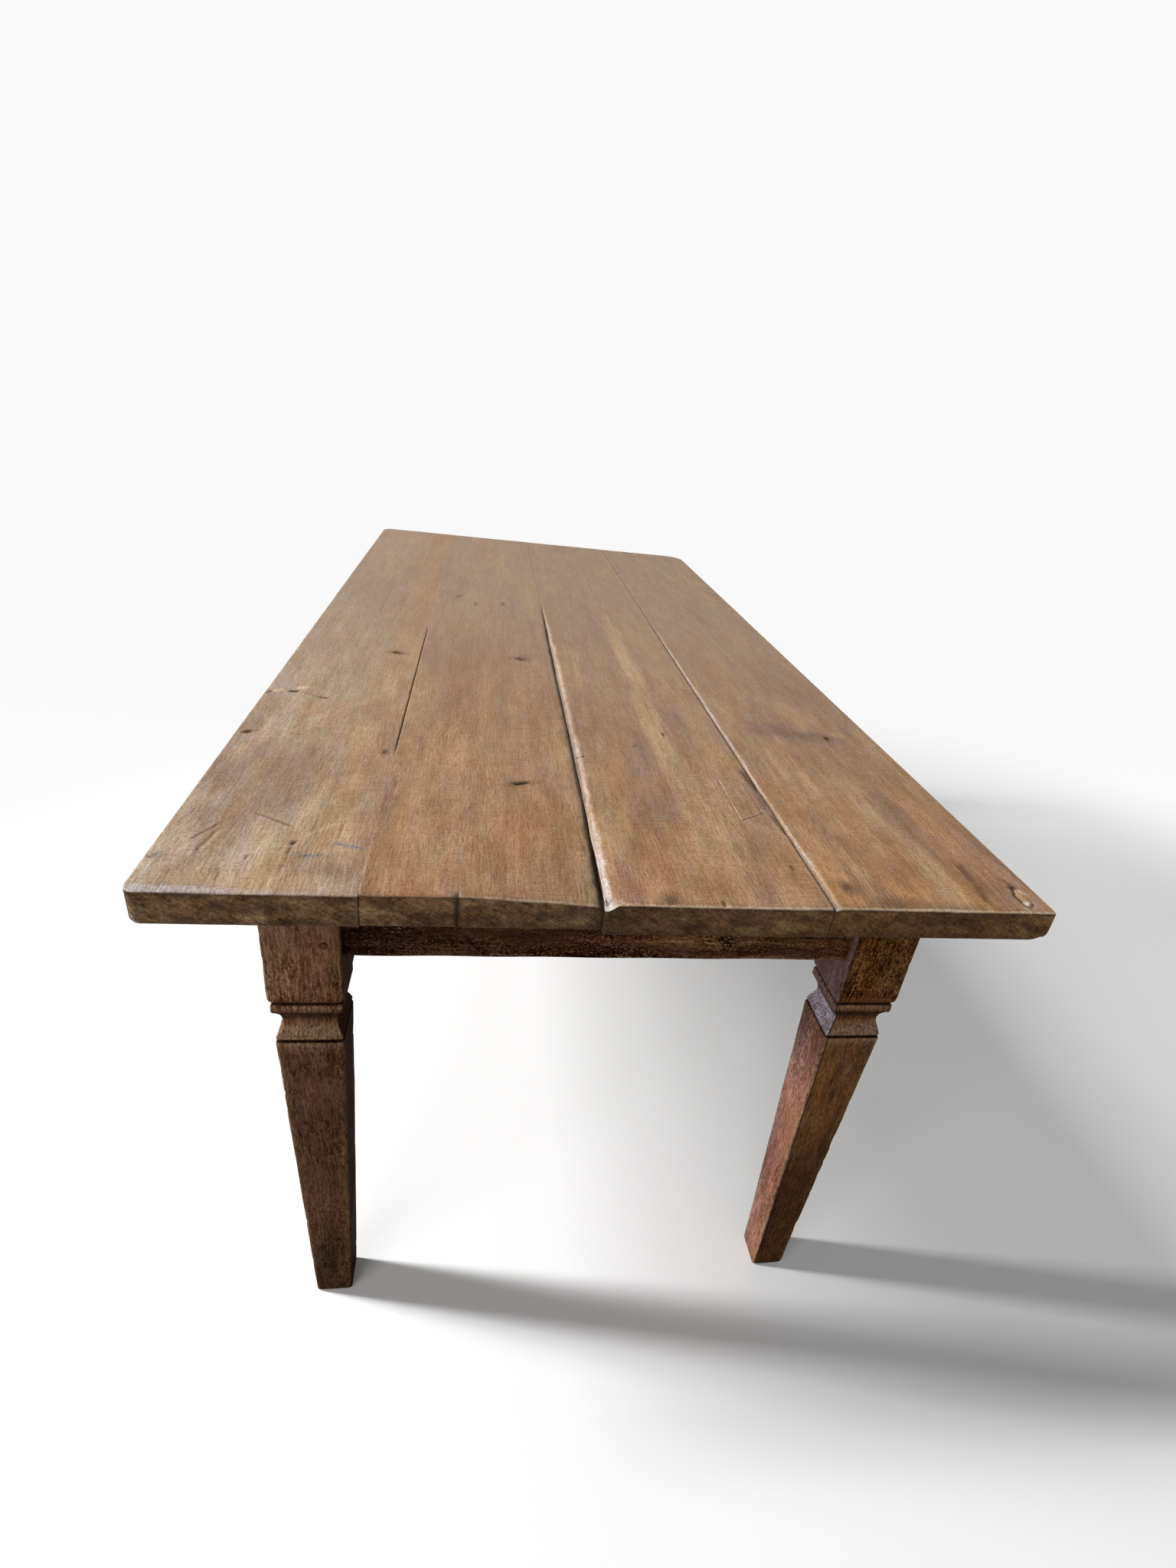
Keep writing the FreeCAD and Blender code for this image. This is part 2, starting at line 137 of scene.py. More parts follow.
def ripples(along, size, seed):
    """Smooth noise that changes along one direction only."""
    return waves(along, along * 0, size, 1.0, seed)


def swells(u, v, seed, *rows):
    """Sum of noises. Each row is a height, the sizes of its features along u and v, and a step from the seed."""
    return sum(height * waves(u, v, size_u, size_v, seed + step) for height, size_u, size_v, step in rows)


def swayed(value, seed, *rows):
    """1 with slow sine waves added. Each row is a height, a rate and the turn that each step of the seed gives it."""
    return 1.0 + sum(height * np.sin(rate * value + turn * seed) for height, rate, turn in rows)


def round_corner(a, b, radius):
    """Moves points in the square corner where distances a and b meet onto a round corner."""
    u, v = np.clip(radius - a, 0, None), np.clip(radius - b, 0, None)
    inside = (u > 0) & (v > 0)
    share = np.where(inside, np.maximum(u, v) / np.maximum(np.hypot(u, v), TINY), 1.0)
    return np.where(inside, radius - u * share, a), np.where(inside, radius - v * share, b)


def eased(values, z, edge, sign, level, facing, drop, reach):
    """Points with the corner of an upright edge and a level rounded, over a drop in height and a reach across.

    The sign points inwards from the edge, and facing is 1 on a top and -1 on an underside.
    """
    stretch = reach / drop
    away, gap = round_corner(sign * (values - edge) / stretch, facing * (level - z), drop)
    return edge + sign * away * stretch, level - facing * gap


def plain(tone, count):
    """One tone for a count of points."""
    return np.tile(np.array(TONES[tone]), (count, 1))


def toward(paint, tone, amount):
    """Moves each point's colour towards a tone, by an amount from 0 to 1."""
    paint += (np.array(TONES[tone]) - paint) * np.clip(amount, 0.0, 1.0)[:, None]


def wash(paint, rows, u, v, seed, strength=1.0):
    """Lays tones on in soft patches.

    Each row is a tone, its amount, the span of noise over which it comes in, the patch's sizes along u and v, a step
    from the seed and the octaves.
    """
    for tone, amount, span, size, step, octaves in rows:
        toward(paint, tone, strength * amount * smooth(*span, waves(u, v, *size, seed + step, octaves)))


def node_box(name):
    """Lowest and highest corner of a CAD node in millimetres."""
    low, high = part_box(name)
    return np.array(low) / MM, np.array(high) / MM


def make_piece(name, points, faces, paint, detail, material, stands_for):
    """Mesh from points in millimetres, with its colours, that stands for a CAD node."""
    mesh = bpy.data.meshes.new(name)
    mesh.from_pydata((points * MM).tolist(), [], faces)
    mesh.polygons.foreach_set("use_smooth", [True] * len(mesh.polygons))
    colours = np.ones((len(points), 4), np.float32)
    colours[:, :3] = np.clip(paint, 0.0, 1.0)
    mesh.color_attributes.new("paint", "FLOAT_COLOR", "POINT").data.foreach_set("color", colours.ravel())
    mesh.attributes.new("detail", "FLOAT", "POINT").data.foreach_set("value", detail.astype(np.float32))
    mesh.materials.append(material)
    made = bpy.data.objects.new(name, mesh)
    bpy.context.scene.collection.objects.link(made)
    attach(made, BODY)
    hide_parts(stands_for)
    return made


# Materials: small helpers for shader nodes

NOISE_ROUGHNESS = 0.6
NOISE_SPAN = (0.30, 0.70)
WAVER_SCALE = 3.0


def node(tree, kind, settings=None, **sockets):
    """Shader node with its settings, and its sockets by name, or by number after an i, set or linked."""
    made = tree.nodes.new("ShaderNode" + kind)
    for key, value in (settings or {}).items():
        setattr(made, key, value)
    for key, value in sockets.items():
        socket = made.inputs[int(key[1:])] if key[1:].isdigit() else made.inputs[key.replace("_", " ")]
        if isinstance(value, bpy.types.NodeSocket):
            tree.links.new(value, socket)
        else:
            socket.default_value = value
    return made


def maths(tree, operation, *values):
    """Math node's result."""
    sockets = {f"i{place}": value for place, value in enumerate(values)}
    return node(tree, "Math", {"operation": operation}, **sockets).outputs[0]


def vectors(tree, operation, **sockets):
    """Vector math node's result."""
    return node(tree, "VectorMath", {"operation": operation}, **sockets).outputs[0]


def ranged(tree, value, low, high, to_low=0.0, to_high=1.0):
    """Value taken from one range to another, smoothly and within it."""
    settings = {"interpolation_type": "SMOOTHSTEP"}
    made = node(tree, "MapRange", settings, i0=value, i1=low, i2=high, i3=to_low, i4=to_high)
    return made.outputs[0]


def blended(tree, factor, first, second, blend="MIX"):
    """Two colours mixed by a factor."""
    settings = {"data_type": "RGBA", "blend_type": blend}
    return node(tree, "Mix", settings, i0=factor, i6=first, i7=second).outputs[2]


def between(tree, factor, first, second):
    """Two values mixed by a factor."""
    return node(tree, "Mix", {"data_type": "FLOAT"}, i0=factor, i2=first, i3=second).outputs[0]


def nearer_one(tree, value, share):
    """Shading whose distance from 1 is scaled by a share."""
    return maths(tree, "MULTIPLY_ADD", maths(tree, "SUBTRACT", value, 1.0), share, 1.0)


def new_material(name):
    """Empty material with its tree and main shader."""
    material = bpy.data.materials.new(name)
    material.use_nodes = True
    tree = material.node_tree
    tree.nodes.clear()
    shader = node(tree, "BsdfPrincipled")
    tree.links.new(shader.outputs[0], node(tree, "OutputMaterial").inputs[0])
    return material, tree, shader


def painted(tree, attribute, output):
    """What a mesh holds for each point: its paint or its detail."""
    return node(tree, "Attribute", {"attribute_name": attribute}).outputs[output]


def drawn(tree, place, axis, across, along):
    """Coordinates scaled so that noise in them is drawn out along one axis of the wood."""
    scale = [across, across, across]
    scale["xyz".index(axis)] = along
    return node(tree, "Mapping", Vector=place, Scale=scale).outputs[0]


def spread_noise(tree, place, scale, octaves):
    """Noise spread over the whole range from 0 to 1."""
    noise = node(tree, "TexNoise", Vector=place, Scale=scale, Detail=octaves, Roughness=NOISE_ROUGHNESS).outputs[0]
    return ranged(tree, noise, *NOISE_SPAN)


def grain_noise(tree, place, axis, grain, octaves=2.0):
    """Spread noise drawn out along one axis of the wood. The grain is its scale across and along."""
    return spread_noise(tree, drawn(tree, place, axis, *grain), 1.0, octaves)


def wavering_place(tree, amount):
    """Object coordinates that waver a little, so that the grain isn't ruled straight."""
    place = node(tree, "TexCoord").outputs["Object"]
    drift = node(tree, "TexNoise", Vector=place, Scale=WAVER_SCALE, Detail=2.0).outputs[1]
    centred = vectors(tree, "SUBTRACT", i0=drift, i1=(0.5, 0.5, 0.5))
    return vectors(tree, "ADD", i0=place, i1=vectors(tree, "SCALE", i0=centred, Scale=amount))


def shade_sum(tree, parts):
    """Brightness about 1 from noises, each with the share by which it lightens and darkens."""
    total = 1.0 - sum(share for noise, share in parts)
    for noise, share in parts:
        total = maths(tree, "MULTIPLY_ADD", noise, 2.0 * share, total)
    return total


# Wood. A look holds the scales of fibre and brush noise across and along the grain, and the shares by which each
# noise lightens and darkens. Calm is what is left of the shading towards the far end. Dust is the power of the shading
# on red, green and blue: pale flecks turn greyer and dark ones browner.
TOP_LOOK = {
    "waver": 0.012, "fibre_grain": (380.0, 55.0), "brush_grain": (150.0, 12.0), "fibre": 0.13, "brush": 0.05,
    "bands": 0.04, "blotch": 0.13, "mottle": 0.085, "speckle": 0.15, "ripple": 0.75, "pores": 0.10, "fleck": 0.0,
    "clouds": 0.60, "calm": 0.40, "dust": (1.0, 1.25, 1.60), "rough": (0.55, 0.75), "bump": 0.40, "shine": 0.12,
    "ends": True, "crackle": 0.0,
}
FRAME_LOOK = {
    "waver": 0.014, "fibre_grain": (480.0, 26.0), "brush_grain": (200.0, 12.0), "fibre": 0.40, "brush": 0.12,
    "bands": 0.06, "blotch": 0.20, "mottle": 0.12, "speckle": 0.24, "ripple": 0.0, "pores": 0.30, "fleck": 0.60,
    "clouds": 0.60, "calm": 0.0, "dust": (1.0, 1.22, 1.45), "rough": (0.65, 0.85), "bump": 0.45, "shine": 0.006,
    "ends": False, "crackle": 1.0,
}
APRON_LOOK = {**FRAME_LOOK, "fleck": 0.45, "fibre": 0.50, "speckle": 0.60}
INNER_LOOK = {
    **FRAME_LOOK, "fibre_grain": (600.0, 16.0), "brush_grain": (170.0, 6.0), "fibre": 0.20, "brush": 0.15,
    "bands": 0.10, "blotch": 0.15, "mottle": 0.05, "speckle": 0.12, "pores": 0.45, "fleck": 0.0, "clouds": 0.4,
    "rough": (0.70, 0.90), "shine": 0.10, "crackle": 0.0,
}
# Scales of noise across and along the grain, single scales, and spans of noise
BAND_GRAIN = (42.0, 1.3)
BLOTCH_GRAIN = (20.0, 8.0)
BLOTCH_OCTAVES = 5.0
MOTTLE_GRAIN = (58.0, 15.0)
SPECKLE_SCALE = 340.0
PORE_GRAIN = (560.0, 60.0)
PORE_SPAN = (0.78, 0.98)
PORE_DEPTH = -0.5
FLECK_GRAIN = (480.0, 100.0)
FLECK_SPAN = (0.50, 0.90)
FLECK_LIFT = 1.12
RIPPLE_GRAIN = (300.0, 36.0)
RIPPLE_PATCH_SCALE = 21.0
GRIT_SCALE = 420.0
CRISPNESS = (0.62, 1.40)
CALM_REACH = (-0.95, 0.10)
HEIGHT_SHARES = (0.30, 0.25, 0.10)
BUMP_DISTANCE = 0.0009
CLOUD_GRAIN = (40.0, 8.8)
CLOUD_SPAN = (0.44, 0.66)
CLOUD_TINTS = ((1.07, 1.01, 0.84, 1.0), (1.06, 0.95, 0.95, 1.0), (0.90, 0.92, 0.92, 1.0))
STROKE_TILT = 1.05
STROKE_SCALE = (420.0, 300.0, 60.0)
END_CLOUD_SCALE = 52.0
END_SPECKLE_SCALE = 300.0
END_SHARES = (0.30, 0.28, 0.34)
CELL_GRAIN = (260.0, 170.0)
CELL_LINES = (0.04, 0.24)
CELL_HEARTS = (0.20, 0.42)
CELL_PATCH_SCALE = 60.0
CELL_PATCH_SPAN = (0.0, 0.6)
HEART_SHARE = 0.38
LINE_SHADE = 0.15
LINE_DEPTH = -0.5


def wood(name, axis, base, look):
    """Waxed or raw wood with its grain along an axis, over its painted colours or over a given pair of tones."""
    material, tree, shader = new_material(name)
    place = wavering_place(tree, look["waver"])
    detail = painted(tree, "detail", "Fac")
    fibre = wood_fibre(tree, place, axis, detail, look)
    brush = grain_noise(tree, place, axis, look["brush_grain"])
    bands = grain_noise(tree, place, axis, BAND_GRAIN)
    blotch = grain_noise(tree, place, axis, BLOTCH_GRAIN, BLOTCH_OCTAVES)
    mottle = grain_noise(tree, place, axis, MOTTLE_GRAIN)
    speckle = spread_noise(tree, place, SPECKLE_SCALE, 2.0)
    pores = ranged(tree, grain_noise(tree, place, axis, PORE_GRAIN, 1.0), *PORE_SPAN)
    value = shade_sum(tree, [(fibre, look["fibre"]), (speckle, look["speckle"]), (brush, look["brush"])])
    if look["fleck"]:
        flecks = ranged(tree, grain_noise(tree, place, axis, FLECK_GRAIN, 1.0), *FLECK_SPAN)
        value = maths(tree, "MULTIPLY", value, ranged(tree, flecks, 0.0, 1.0, FLECK_LIFT, FLECK_LIFT - look["fleck"]))
    broad = shade_sum(tree, [(bands, look["bands"]), (blotch, look["blotch"]), (mottle, look["mottle"])])
    value = maths(tree, "MULTIPLY", value, broad)
    clouds = look["clouds"]
    if look["crackle"]:
        value = nearer_one(tree, value, ranged(tree, detail, 0.0, 1.0, *CRISPNESS))
    if look["calm"]:
        along = node(tree, "SeparateXYZ", Vector=place).outputs["xyz".index(axis)]
        calm = ranged(tree, along, *CALM_REACH, 1.0, look["calm"])
        value = nearer_one(tree, value, calm)
        clouds = maths(tree, "MULTIPLY", calm, clouds)
    value = maths(tree, "MULTIPLY", value, ranged(tree, pores, 0.0, 1.0, 1.0, 1.0 - look["pores"]))
    if base is None:
        colour = painted(tree, "paint", "Color")
    else:
        colour = blended(tree, bands, *[(*TONES[tone], 1.0) for tone in base])
    colour = clouded(tree, place, axis, colour, clouds)
    height = shade_sum(tree, list(zip((fibre, brush, speckle), HEIGHT_SHARES)))
    height = maths(tree, "MULTIPLY_ADD", pores, PORE_DEPTH, height)
    if look["ends"]:
        value, height = end_grain(tree, place, detail, value, height)
    if look["crackle"]:
        colour, value, height = crackled(tree, place, axis, detail, colour, value, height, look["crackle"])
    red, green, blue = [maths(tree, "POWER", value, power) for power in look["dust"]]
    dusty = node(tree, "CombineXYZ", i0=red, i1=green, i2=blue).outputs[0]
    tree.links.new(vectors(tree, "MULTIPLY", i0=colour, i1=dusty), shader.inputs["Base Color"])
    tree.links.new(ranged(tree, blotch, 0.0, 1.0, *look["rough"]), shader.inputs["Roughness"])
    bump = node(tree, "Bump", Strength=look["bump"], Distance=BUMP_DISTANCE, Height=height)
    tree.links.new(bump.outputs[0], shader.inputs["Normal"])
    shader.inputs["Specular IOR Level"].default_value = look["shine"]
    return material


def wood_fibre(tree, place, axis, detail, look):
    """Finest noise along the grain, with grit where the finish is crazed and ripples across a waxed top."""
    fibre = grain_noise(tree, place, axis, look["fibre_grain"])
    if look["crackle"]:
        fibre = between(tree, detail, fibre, spread_noise(tree, place, GRIT_SCALE, 2.0))
    if look["ripple"]:
        ripple = grain_noise(tree, place, "x", RIPPLE_GRAIN)
        patches = maths(tree, "MULTIPLY", spread_noise(tree, place, RIPPLE_PATCH_SCALE, 2.0), look["ripple"])
        fibre = between(tree, patches, fibre, ripple)
    return fibre


def clouded(tree, place, axis, colour, amount):
    """Colour with clouds of ochre, rose and grey over it, drawn out along the grain."""
    mapped = drawn(tree, place, axis, *CLOUD_GRAIN)
    noise = node(tree, "TexNoise", Vector=mapped, Scale=1.0, Detail=2.0).outputs[1]
    for part, tint in zip(node(tree, "SeparateXYZ", Vector=noise).outputs, CLOUD_TINTS):
        share = maths(tree, "MULTIPLY", ranged(tree, part, *CLOUD_SPAN), amount)
        colour = blended(tree, share, colour, tint, "MULTIPLY")
    return colour


def end_grain(tree, place, detail, value, height):
    """Slanting saw strokes and cloudy patches where the wood is cut across, in place of the long grain."""
    tilted = node(tree, "Mapping", Vector=place, Rotation=(0.0, STROKE_TILT, 0.0)).outputs[0]
    strokes = spread_noise(tree, node(tree, "Mapping", Vector=tilted, Scale=STROKE_SCALE).outputs[0], 1.0, 3.0)
    cloud = spread_noise(tree, place, END_CLOUD_SCALE, 4.0)
    speckle = spread_noise(tree, place, END_SPECKLE_SCALE, 2.0)
    cut = shade_sum(tree, list(zip((strokes, cloud, speckle), END_SHARES)))
    return between(tree, detail, value, cut), between(tree, detail, height, strokes)


def crackled(tree, place, axis, detail, colour, value, height, strength):
    """Crazed old finish where the detail asks for it: dark lines round small cells that are worn to ochre."""
    mapped = drawn(tree, place, axis, *CELL_GRAIN)
    cells = node(tree, "TexVoronoi", {"feature": "DISTANCE_TO_EDGE"}, Vector=mapped, Scale=1.0).outputs["Distance"]
    patches = ranged(tree, spread_noise(tree, place, CELL_PATCH_SCALE, 3.0), *CELL_PATCH_SPAN)
    here = maths(tree, "MINIMUM", maths(tree, "MULTIPLY", patches, detail), 1.0)
    lines = maths(tree, "MULTIPLY", ranged(tree, cells, *CELL_LINES, 1.0, 0.0), here)
    hearts = maths(tree, "MULTIPLY", ranged(tree, cells, *CELL_HEARTS), here)
    colour = blended(tree, maths(tree, "MULTIPLY", hearts, HEART_SHARE), colour, (*TONES["ochre"], 1.0))
    dark = maths(tree, "MULTIPLY", lines, strength)
    value = maths(tree, "MULTIPLY", value, ranged(tree, dark, 0.0, 1.0, 1.0, LINE_SHADE))
    return colour, value, maths(tree, "MULTIPLY_ADD", lines, LINE_DEPTH, height)


STEEL = (0.24, 0.23, 0.22, 1.0)
RUST = (0.16, 0.075, 0.035, 1.0)
STEEL_SCALE = 900.0
RUST_SCALE = 260.0
RUST_SPAN = (0.45, 0.65)
# From clean steel to rust
STEEL_ROUGHNESS = (0.38, 0.75)
STEEL_METALLIC = (1.0, 0.25)
STEEL_BUMP = (0.3, 0.0004)


def screw_steel():
    """Dull old steel, browned in places."""
    material, tree, shader = new_material("screw_steel")
    place = node(tree, "TexCoord").outputs["Object"]
    turned = node(tree, "TexNoise", Vector=place, Scale=STEEL_SCALE, Detail=3.0).outputs[0]
    rust = ranged(tree, node(tree, "TexNoise", Vector=place, Scale=RUST_SCALE, Detail=4.0).outputs[0], *RUST_SPAN)
    tree.links.new(blended(tree, rust, STEEL, RUST), shader.inputs["Base Color"])
    tree.links.new(ranged(tree, rust, 0.0, 1.0, *STEEL_ROUGHNESS), shader.inputs["Roughness"])
    tree.links.new(ranged(tree, rust, 0.0, 1.0, *STEEL_METALLIC), shader.inputs["Metallic"])
    bump = node(tree, "Bump", Strength=STEEL_BUMP[0], Distance=STEEL_BUMP[1], Height=turned)
    tree.links.new(bump.outputs[0], shader.inputs["Normal"])
    return material


top_wood = wood("top_wood", "y", None, TOP_LOOK)
frame_woods = {axis: wood(f"frame_wood_{axis}", axis, None, APRON_LOOK) for axis in "xy"}
frame_woods["z"] = wood("frame_wood_z", "z", None, FRAME_LOOK)
inner_woods = {axis: wood(f"inner_wood_{axis}", axis, ("raw", "umber"), INNER_LOOK) for axis in "xy"}
steel = screw_steel()


# Top boards

TOP_ARRIS = 2.0
JOINT_ARRIS = 0.4
TIGHT_ARRIS = 0.08
END_UNDER_ROUND = 3.0
# Board and side with the rounded outer edge, and the drop and reach of its upper round
NOSE_SIDE = (4, 1)
NOSE = (9.0, 3.0)
# Board and side at the joint that is all but shut, and at the wide one in the middle
TIGHT_JOINT = ((1, 1), (2, 0))
WIDE_JOINT = ((2, 1), (3, 0))
# Heights of the rings down a wall as shares of the thickness, and grid lines in from the edges of top and underside
WALL_SHARES = (0.975, 0.945, 0.90, 0.83, 0.76, 0.69, 0.62, 0.55, 0.48, 0.41, 0.34, 0.27, 0.20, 0.13, 0.06, 0.02)
EDGE_LINES = (0.1, 0.7, 1.5, 2.6, 4.0, 5.5, 7.5, 10.0, 12.5, 15.0, 17.5, 20.0, 22.5, 25.0)
UNDER_EDGES = (1.0, 3.0, 5.5, 8.0, 11.0, 14.0, 17.0, 20.0, 23.0)
ACROSS_STEP = 2.4
ALONG_STEP = 10.0
NEAR_ZONE = 300.0
NEAR_STEP = 2.4
UNDER_STEP = 24.0
# Middle, half length and step of the finer rows over marks far from the near end, for each board
FINE_ROWS = {
    1: [(-468.0, 28.0, NEAR_STEP)],
    3: [(-672.0, 32.0, NEAR_STEP)],
    4: [(-528.0, 14.0, NEAR_STEP)],
}
# Knots wider than this get finer rows: reach and step as shares of their length, and the least step
KNOT_LEAST = 5.0
KNOT_ROWS = (0.75, 0.1)
KNOT_STEP = 1.8
# Room that an even line keeps from the others, as a share of its step, and the least gap of any two
ROW_ROOM = 0.4
LEAST_GAP = 0.3

# Marks on a board in plan, in millimetres, with a knot's tilt in degrees. A depth below 0 stands proud.
Knot = namedtuple("Knot", "x y across along depth tilt", defaults=(0.0, 0.0))
Split = namedtuple("Split", "x0 y0 x1 y1 width depth tone", defaults=(0.0, None))
Stain = namedtuple("Stain", "x y across along tone amount")


class Board:
    """What sets one board apart: tone, rounds of its corners and lower edges, lips and the marks on it.

    Corners are near left, near right, far left and far right. Unders and lips are for the left side and the right one:
    rise and reach of the under round, width and depth of the lip.
    """

    def __init__(self, number, tone, corners, unders, lips, knots, splits, stains):
        self.number, self.tone = number, tone
        self.corners, self.unders, self.lips = corners, unders, lips
        self.node = f"top_board_{number}"
        self.low, self.high = node_box(self.node)
        self.knots = [Knot(*knot) for knot in knots]
        self.splits = [Split(*split) for split in splits]
        self.stains = [Stain(*stain) for stain in stains]

    def sides(self, x):
        """Number of each long side, with the distance of each point from it."""
        return (0, x - self.low[0]), (1, self.high[0] - x)


BOARDS = [
    Board(
        1, "silvered", (12.0, 0.5, 26.0, 0.5), ((4.5, 6.5), (1.0, 1.0)), ((0.0, 0.0), (1.0, 0.8)),
        knots=[(-305, -244, 20, 13, 1.4, 10), (-455, -625, 8, 15, 2.4, 50), (-277, -667, 7, 16, 0.8, 12)],
        # The first six splits make a cross crack: painted highlights on its proud pale splinters and painted shade in
        # its dark bits
        splits=[
            (-469, -477, -458, -471, 5.5, 1.6, "umber"), (-460, -471, -443, -462, 9.0, -0.6, "rubbed_and_highlight"),
            (-439, -467, -423, -465, 5.5, 1.6, "soot_and_shade"), (-428, -454, -412, -444, 8.0, -0.5, "rubbed_and_highlight"),
            (-420, -467, -393, -484, 2.6, 0.5, "russet"), (-393, -484, -377, -488, 5.0, 1.4, "umber"),
            (-342.5, -906, -338.8, -896, 3.2, 2.2, "soot_and_shade"), (-420, -865, -440, -903, 2.2, 0.5, "umber"),
            (-420, -879, -428, -930, 2.0, 0.5, "umber"), (-415, -880, -423, -928, 2.0, -0.2, "rubbed_and_highlight"),
            (-396, -840, -346, -870, 2.0, 0.5, "umber"), (-341, -910, -342, -925, 2.2, 0.8, "umber"),
            (-342, -927, -342, -959, 1.8, 0.5, "russet"), (-335, -891, -302, -855, 2.2, -0.3, "rubbed_and_highlight"),
            (-302, -899, -267, -910, 3.2, 0.6, "slate"), (-330, -927, -306, -923, 3.2, 0.3, "slate"),
            (-465, -938, -457, -928, 3.2, 0.6, "slate"), (-398, -950, -395, -976, 1.8, 0.4, "umber"),
            (-377, -924, -378, -937, 1.8, 0.4, "umber"), (-299, -855, -300, -892, 1.8, 0.3, "russet"),
        ],
        stains=[
            (-300, -660, 70, 150, "russet", 0.30), (-410, -800, 90, 160, "plum", 0.22),
            (-320, -935, 90, 50, "plum", 0.30), (-307, -951, 56, 40, "plum", 0.72),
            (-330, -925, 50, 16, "slate", 0.35), (-285, -960, 50, 60, "umber", 0.36),
            (-395, -972, 150, 40, "straw", 0.35), (-455, -933, 24, 20, "slate", 0.35),
            (-270, -700, 30, 120, "russet", 0.30), (-380, -300, 120, 500, "honey", 0.20),
            (-375, -910, 190, 210, "rubbed_and_highlight", 0.26),
        ]),
    Board(
        2, "honey", (0.5, 1.0, 0.5, 0.5), ((1.0, 1.0), (1.5, 1.5)), ((1.0, 0.8), (3.0, 2.6)),
        knots=[(-89, -231, 22, 14, 1.0, 15), (-104, -740, 8.5, 27, 2.8, 72), (-117, 166, 6, 22, 0.5, 0),
               (-177, 145, 5, 26, 0.4, 0), (-213, 210, 8, 24, 0.4, 20)],
        splits=[(-173, -1000, -173, -984, 1.6, 2.0, "soot_and_shade"), (-261, -718, -252, -787, 2.2, 0.2, "russet"),
                (-130, -738, -160, -730, 2.6, 0.3, "russet")],
        stains=[
            (-169, -833, 26, 90, "plum", 0.45), (-110, -880, 120, 190, "amber", 0.45),
            (-200, -935, 90, 120, "amber", 0.30), (-140, -741, 110, 40, "russet", 0.35),
            (-80, -212, 70, 60, "plum", 0.50), (-190, -430, 60, 260, "russet", 0.25),
            (-80, -560, 60, 240, "russet", 0.28), (-38, -975, 18, 70, "moss", 0.45),
            (-205, -700, 70, 160, "straw", 0.30), (-230, -840, 40, 160, "straw", 0.30),
            (-70, -905, 40, 120, "russet", 0.30), (-120, -985, 150, 22, "russet", 0.35),
            (-150, -420, 300, 900, "russet", 0.24), (-150, -930, 260, 230, "plum", 0.26),
        ]),
    Board(
        3, "honey", (3.0, 1.0, 0.5, 0.5), ((1.5, 1.5), (1.0, 1.0)), ((7.8, 2.8), (1.6, 1.2)),
        knots=[(115, -550, 4, 9, 1.0, 0), (39, -989, 14, 20, 0.5, 0), (63, -600, 3, 8, 0.6, 0),
               (190, -921, 3, 8, 0.6, 0)],
        splits=[(93, -1000, 93, -986, 2.0, 1.6, "soot_and_shade"), (-28, -648, -14, -646, 3.2, 1.6, "soot_and_shade"),
                (205, -664, 209, -736, 5.0, 1.8, "umber"), (207, -761, 203, -797, 3.0, 0.8, "slate"),
                (204, -800, 209, -850, 2.4, 0.5, "umber")],
        stains=[
            (110, -190, 46, 640, "sapwood_and_highlight", 0.80), (103, -540, 42, 480, "sapwood_and_highlight", 0.70),
            (97, -820, 26, 260, "sapwood_and_highlight", 0.45), (132, -640, 16, 420, "russet", 0.40),
            (203, -720, 20, 170, "moss", 0.50), (30, -620, 60, 420, "russet", 0.25),
            (60, -760, 40, 200, "plum", 0.30), (40, -850, 44, 160, "plum", 0.25),
            (150, -940, 60, 120, "amber", 0.25), (20, -940, 70, 110, "amber", 0.30),
            (160, -860, 70, 90, "plum", 0.22),
        ]),
    Board(
        4, "honey", (0.5, 2.5, 0.5, 48.0), ((1.0, 1.0), (15.0, 22.0)), ((3.4, 2.2), (0.0, 0.0)),
        knots=[(387, -528, 11, 14, 1.8, 30), (241, -958, 10, 16, 0.4, 0)],
        splits=[(405, -901, 403, -945, 6.0, 0.6, "umber"), (403, -945, 396, -984, 6.0, 0.6, "umber"),
                (448, -944, 448, -954, 3.4, 1.8, "soot_and_shade"), (443, -930, 448, -944, 2.0, 0.3, "umber"),
                (433, -988, 440, -997, 2.6, -0.3, "rubbed_and_highlight")],
        stains=[
            (300, -503, 130, 90, "plum", 0.85), (372, -530, 140, 84, "plum", 0.85),
            (340, -520, 120, 46, "umber", 0.34), (410, -512, 36, 30, "straw", 0.50),
            (404, -930, 26, 120, "umber", 0.62), (300, -860, 120, 260, "amber", 0.30),
            (420, -700, 60, 380, "russet", 0.30), (260, -300, 40, 700, "russet", 0.22),
            (440, -900, 40, 160, "russet", 0.30), (245, -958, 40, 30, "umber", 0.40),
            (294, -984, 90, 34, "umber", 0.55), (330, -990, 190, 22, "umber", 0.40),
            (290, -925, 24, 70, "russet", 0.30), (398, -968, 20, 60, "umber", 0.50),
            (340, -780, 70, 120, "straw", 0.30), (268, -640, 16, 240, "straw", 0.35),
        ]),
]


def grid_lines(low, high, step, edges, windows=()):
    """Positions from low to high: an even step, offsets by both ends, and finer windows of centre, half and step."""
    kept = [low, high] + [low + offset for offset in edges] + [high - offset for offset in edges]
    for centre, half, fine in windows:
        kept += list(np.arange(max(low, centre - half), min(high, centre + half), fine))
    kept = np.array(sorted(kept))
    even = np.linspace(low, high, int(round((high - low) / step)) + 1)
    even = [line for line in even if np.min(np.abs(kept - line)) > ROW_ROOM * step]
    lines = np.array(sorted([*kept, *even]))
    clear = np.append(True, np.diff(lines) > LEAST_GAP)
    clear[-1] = True
    return lines[clear]


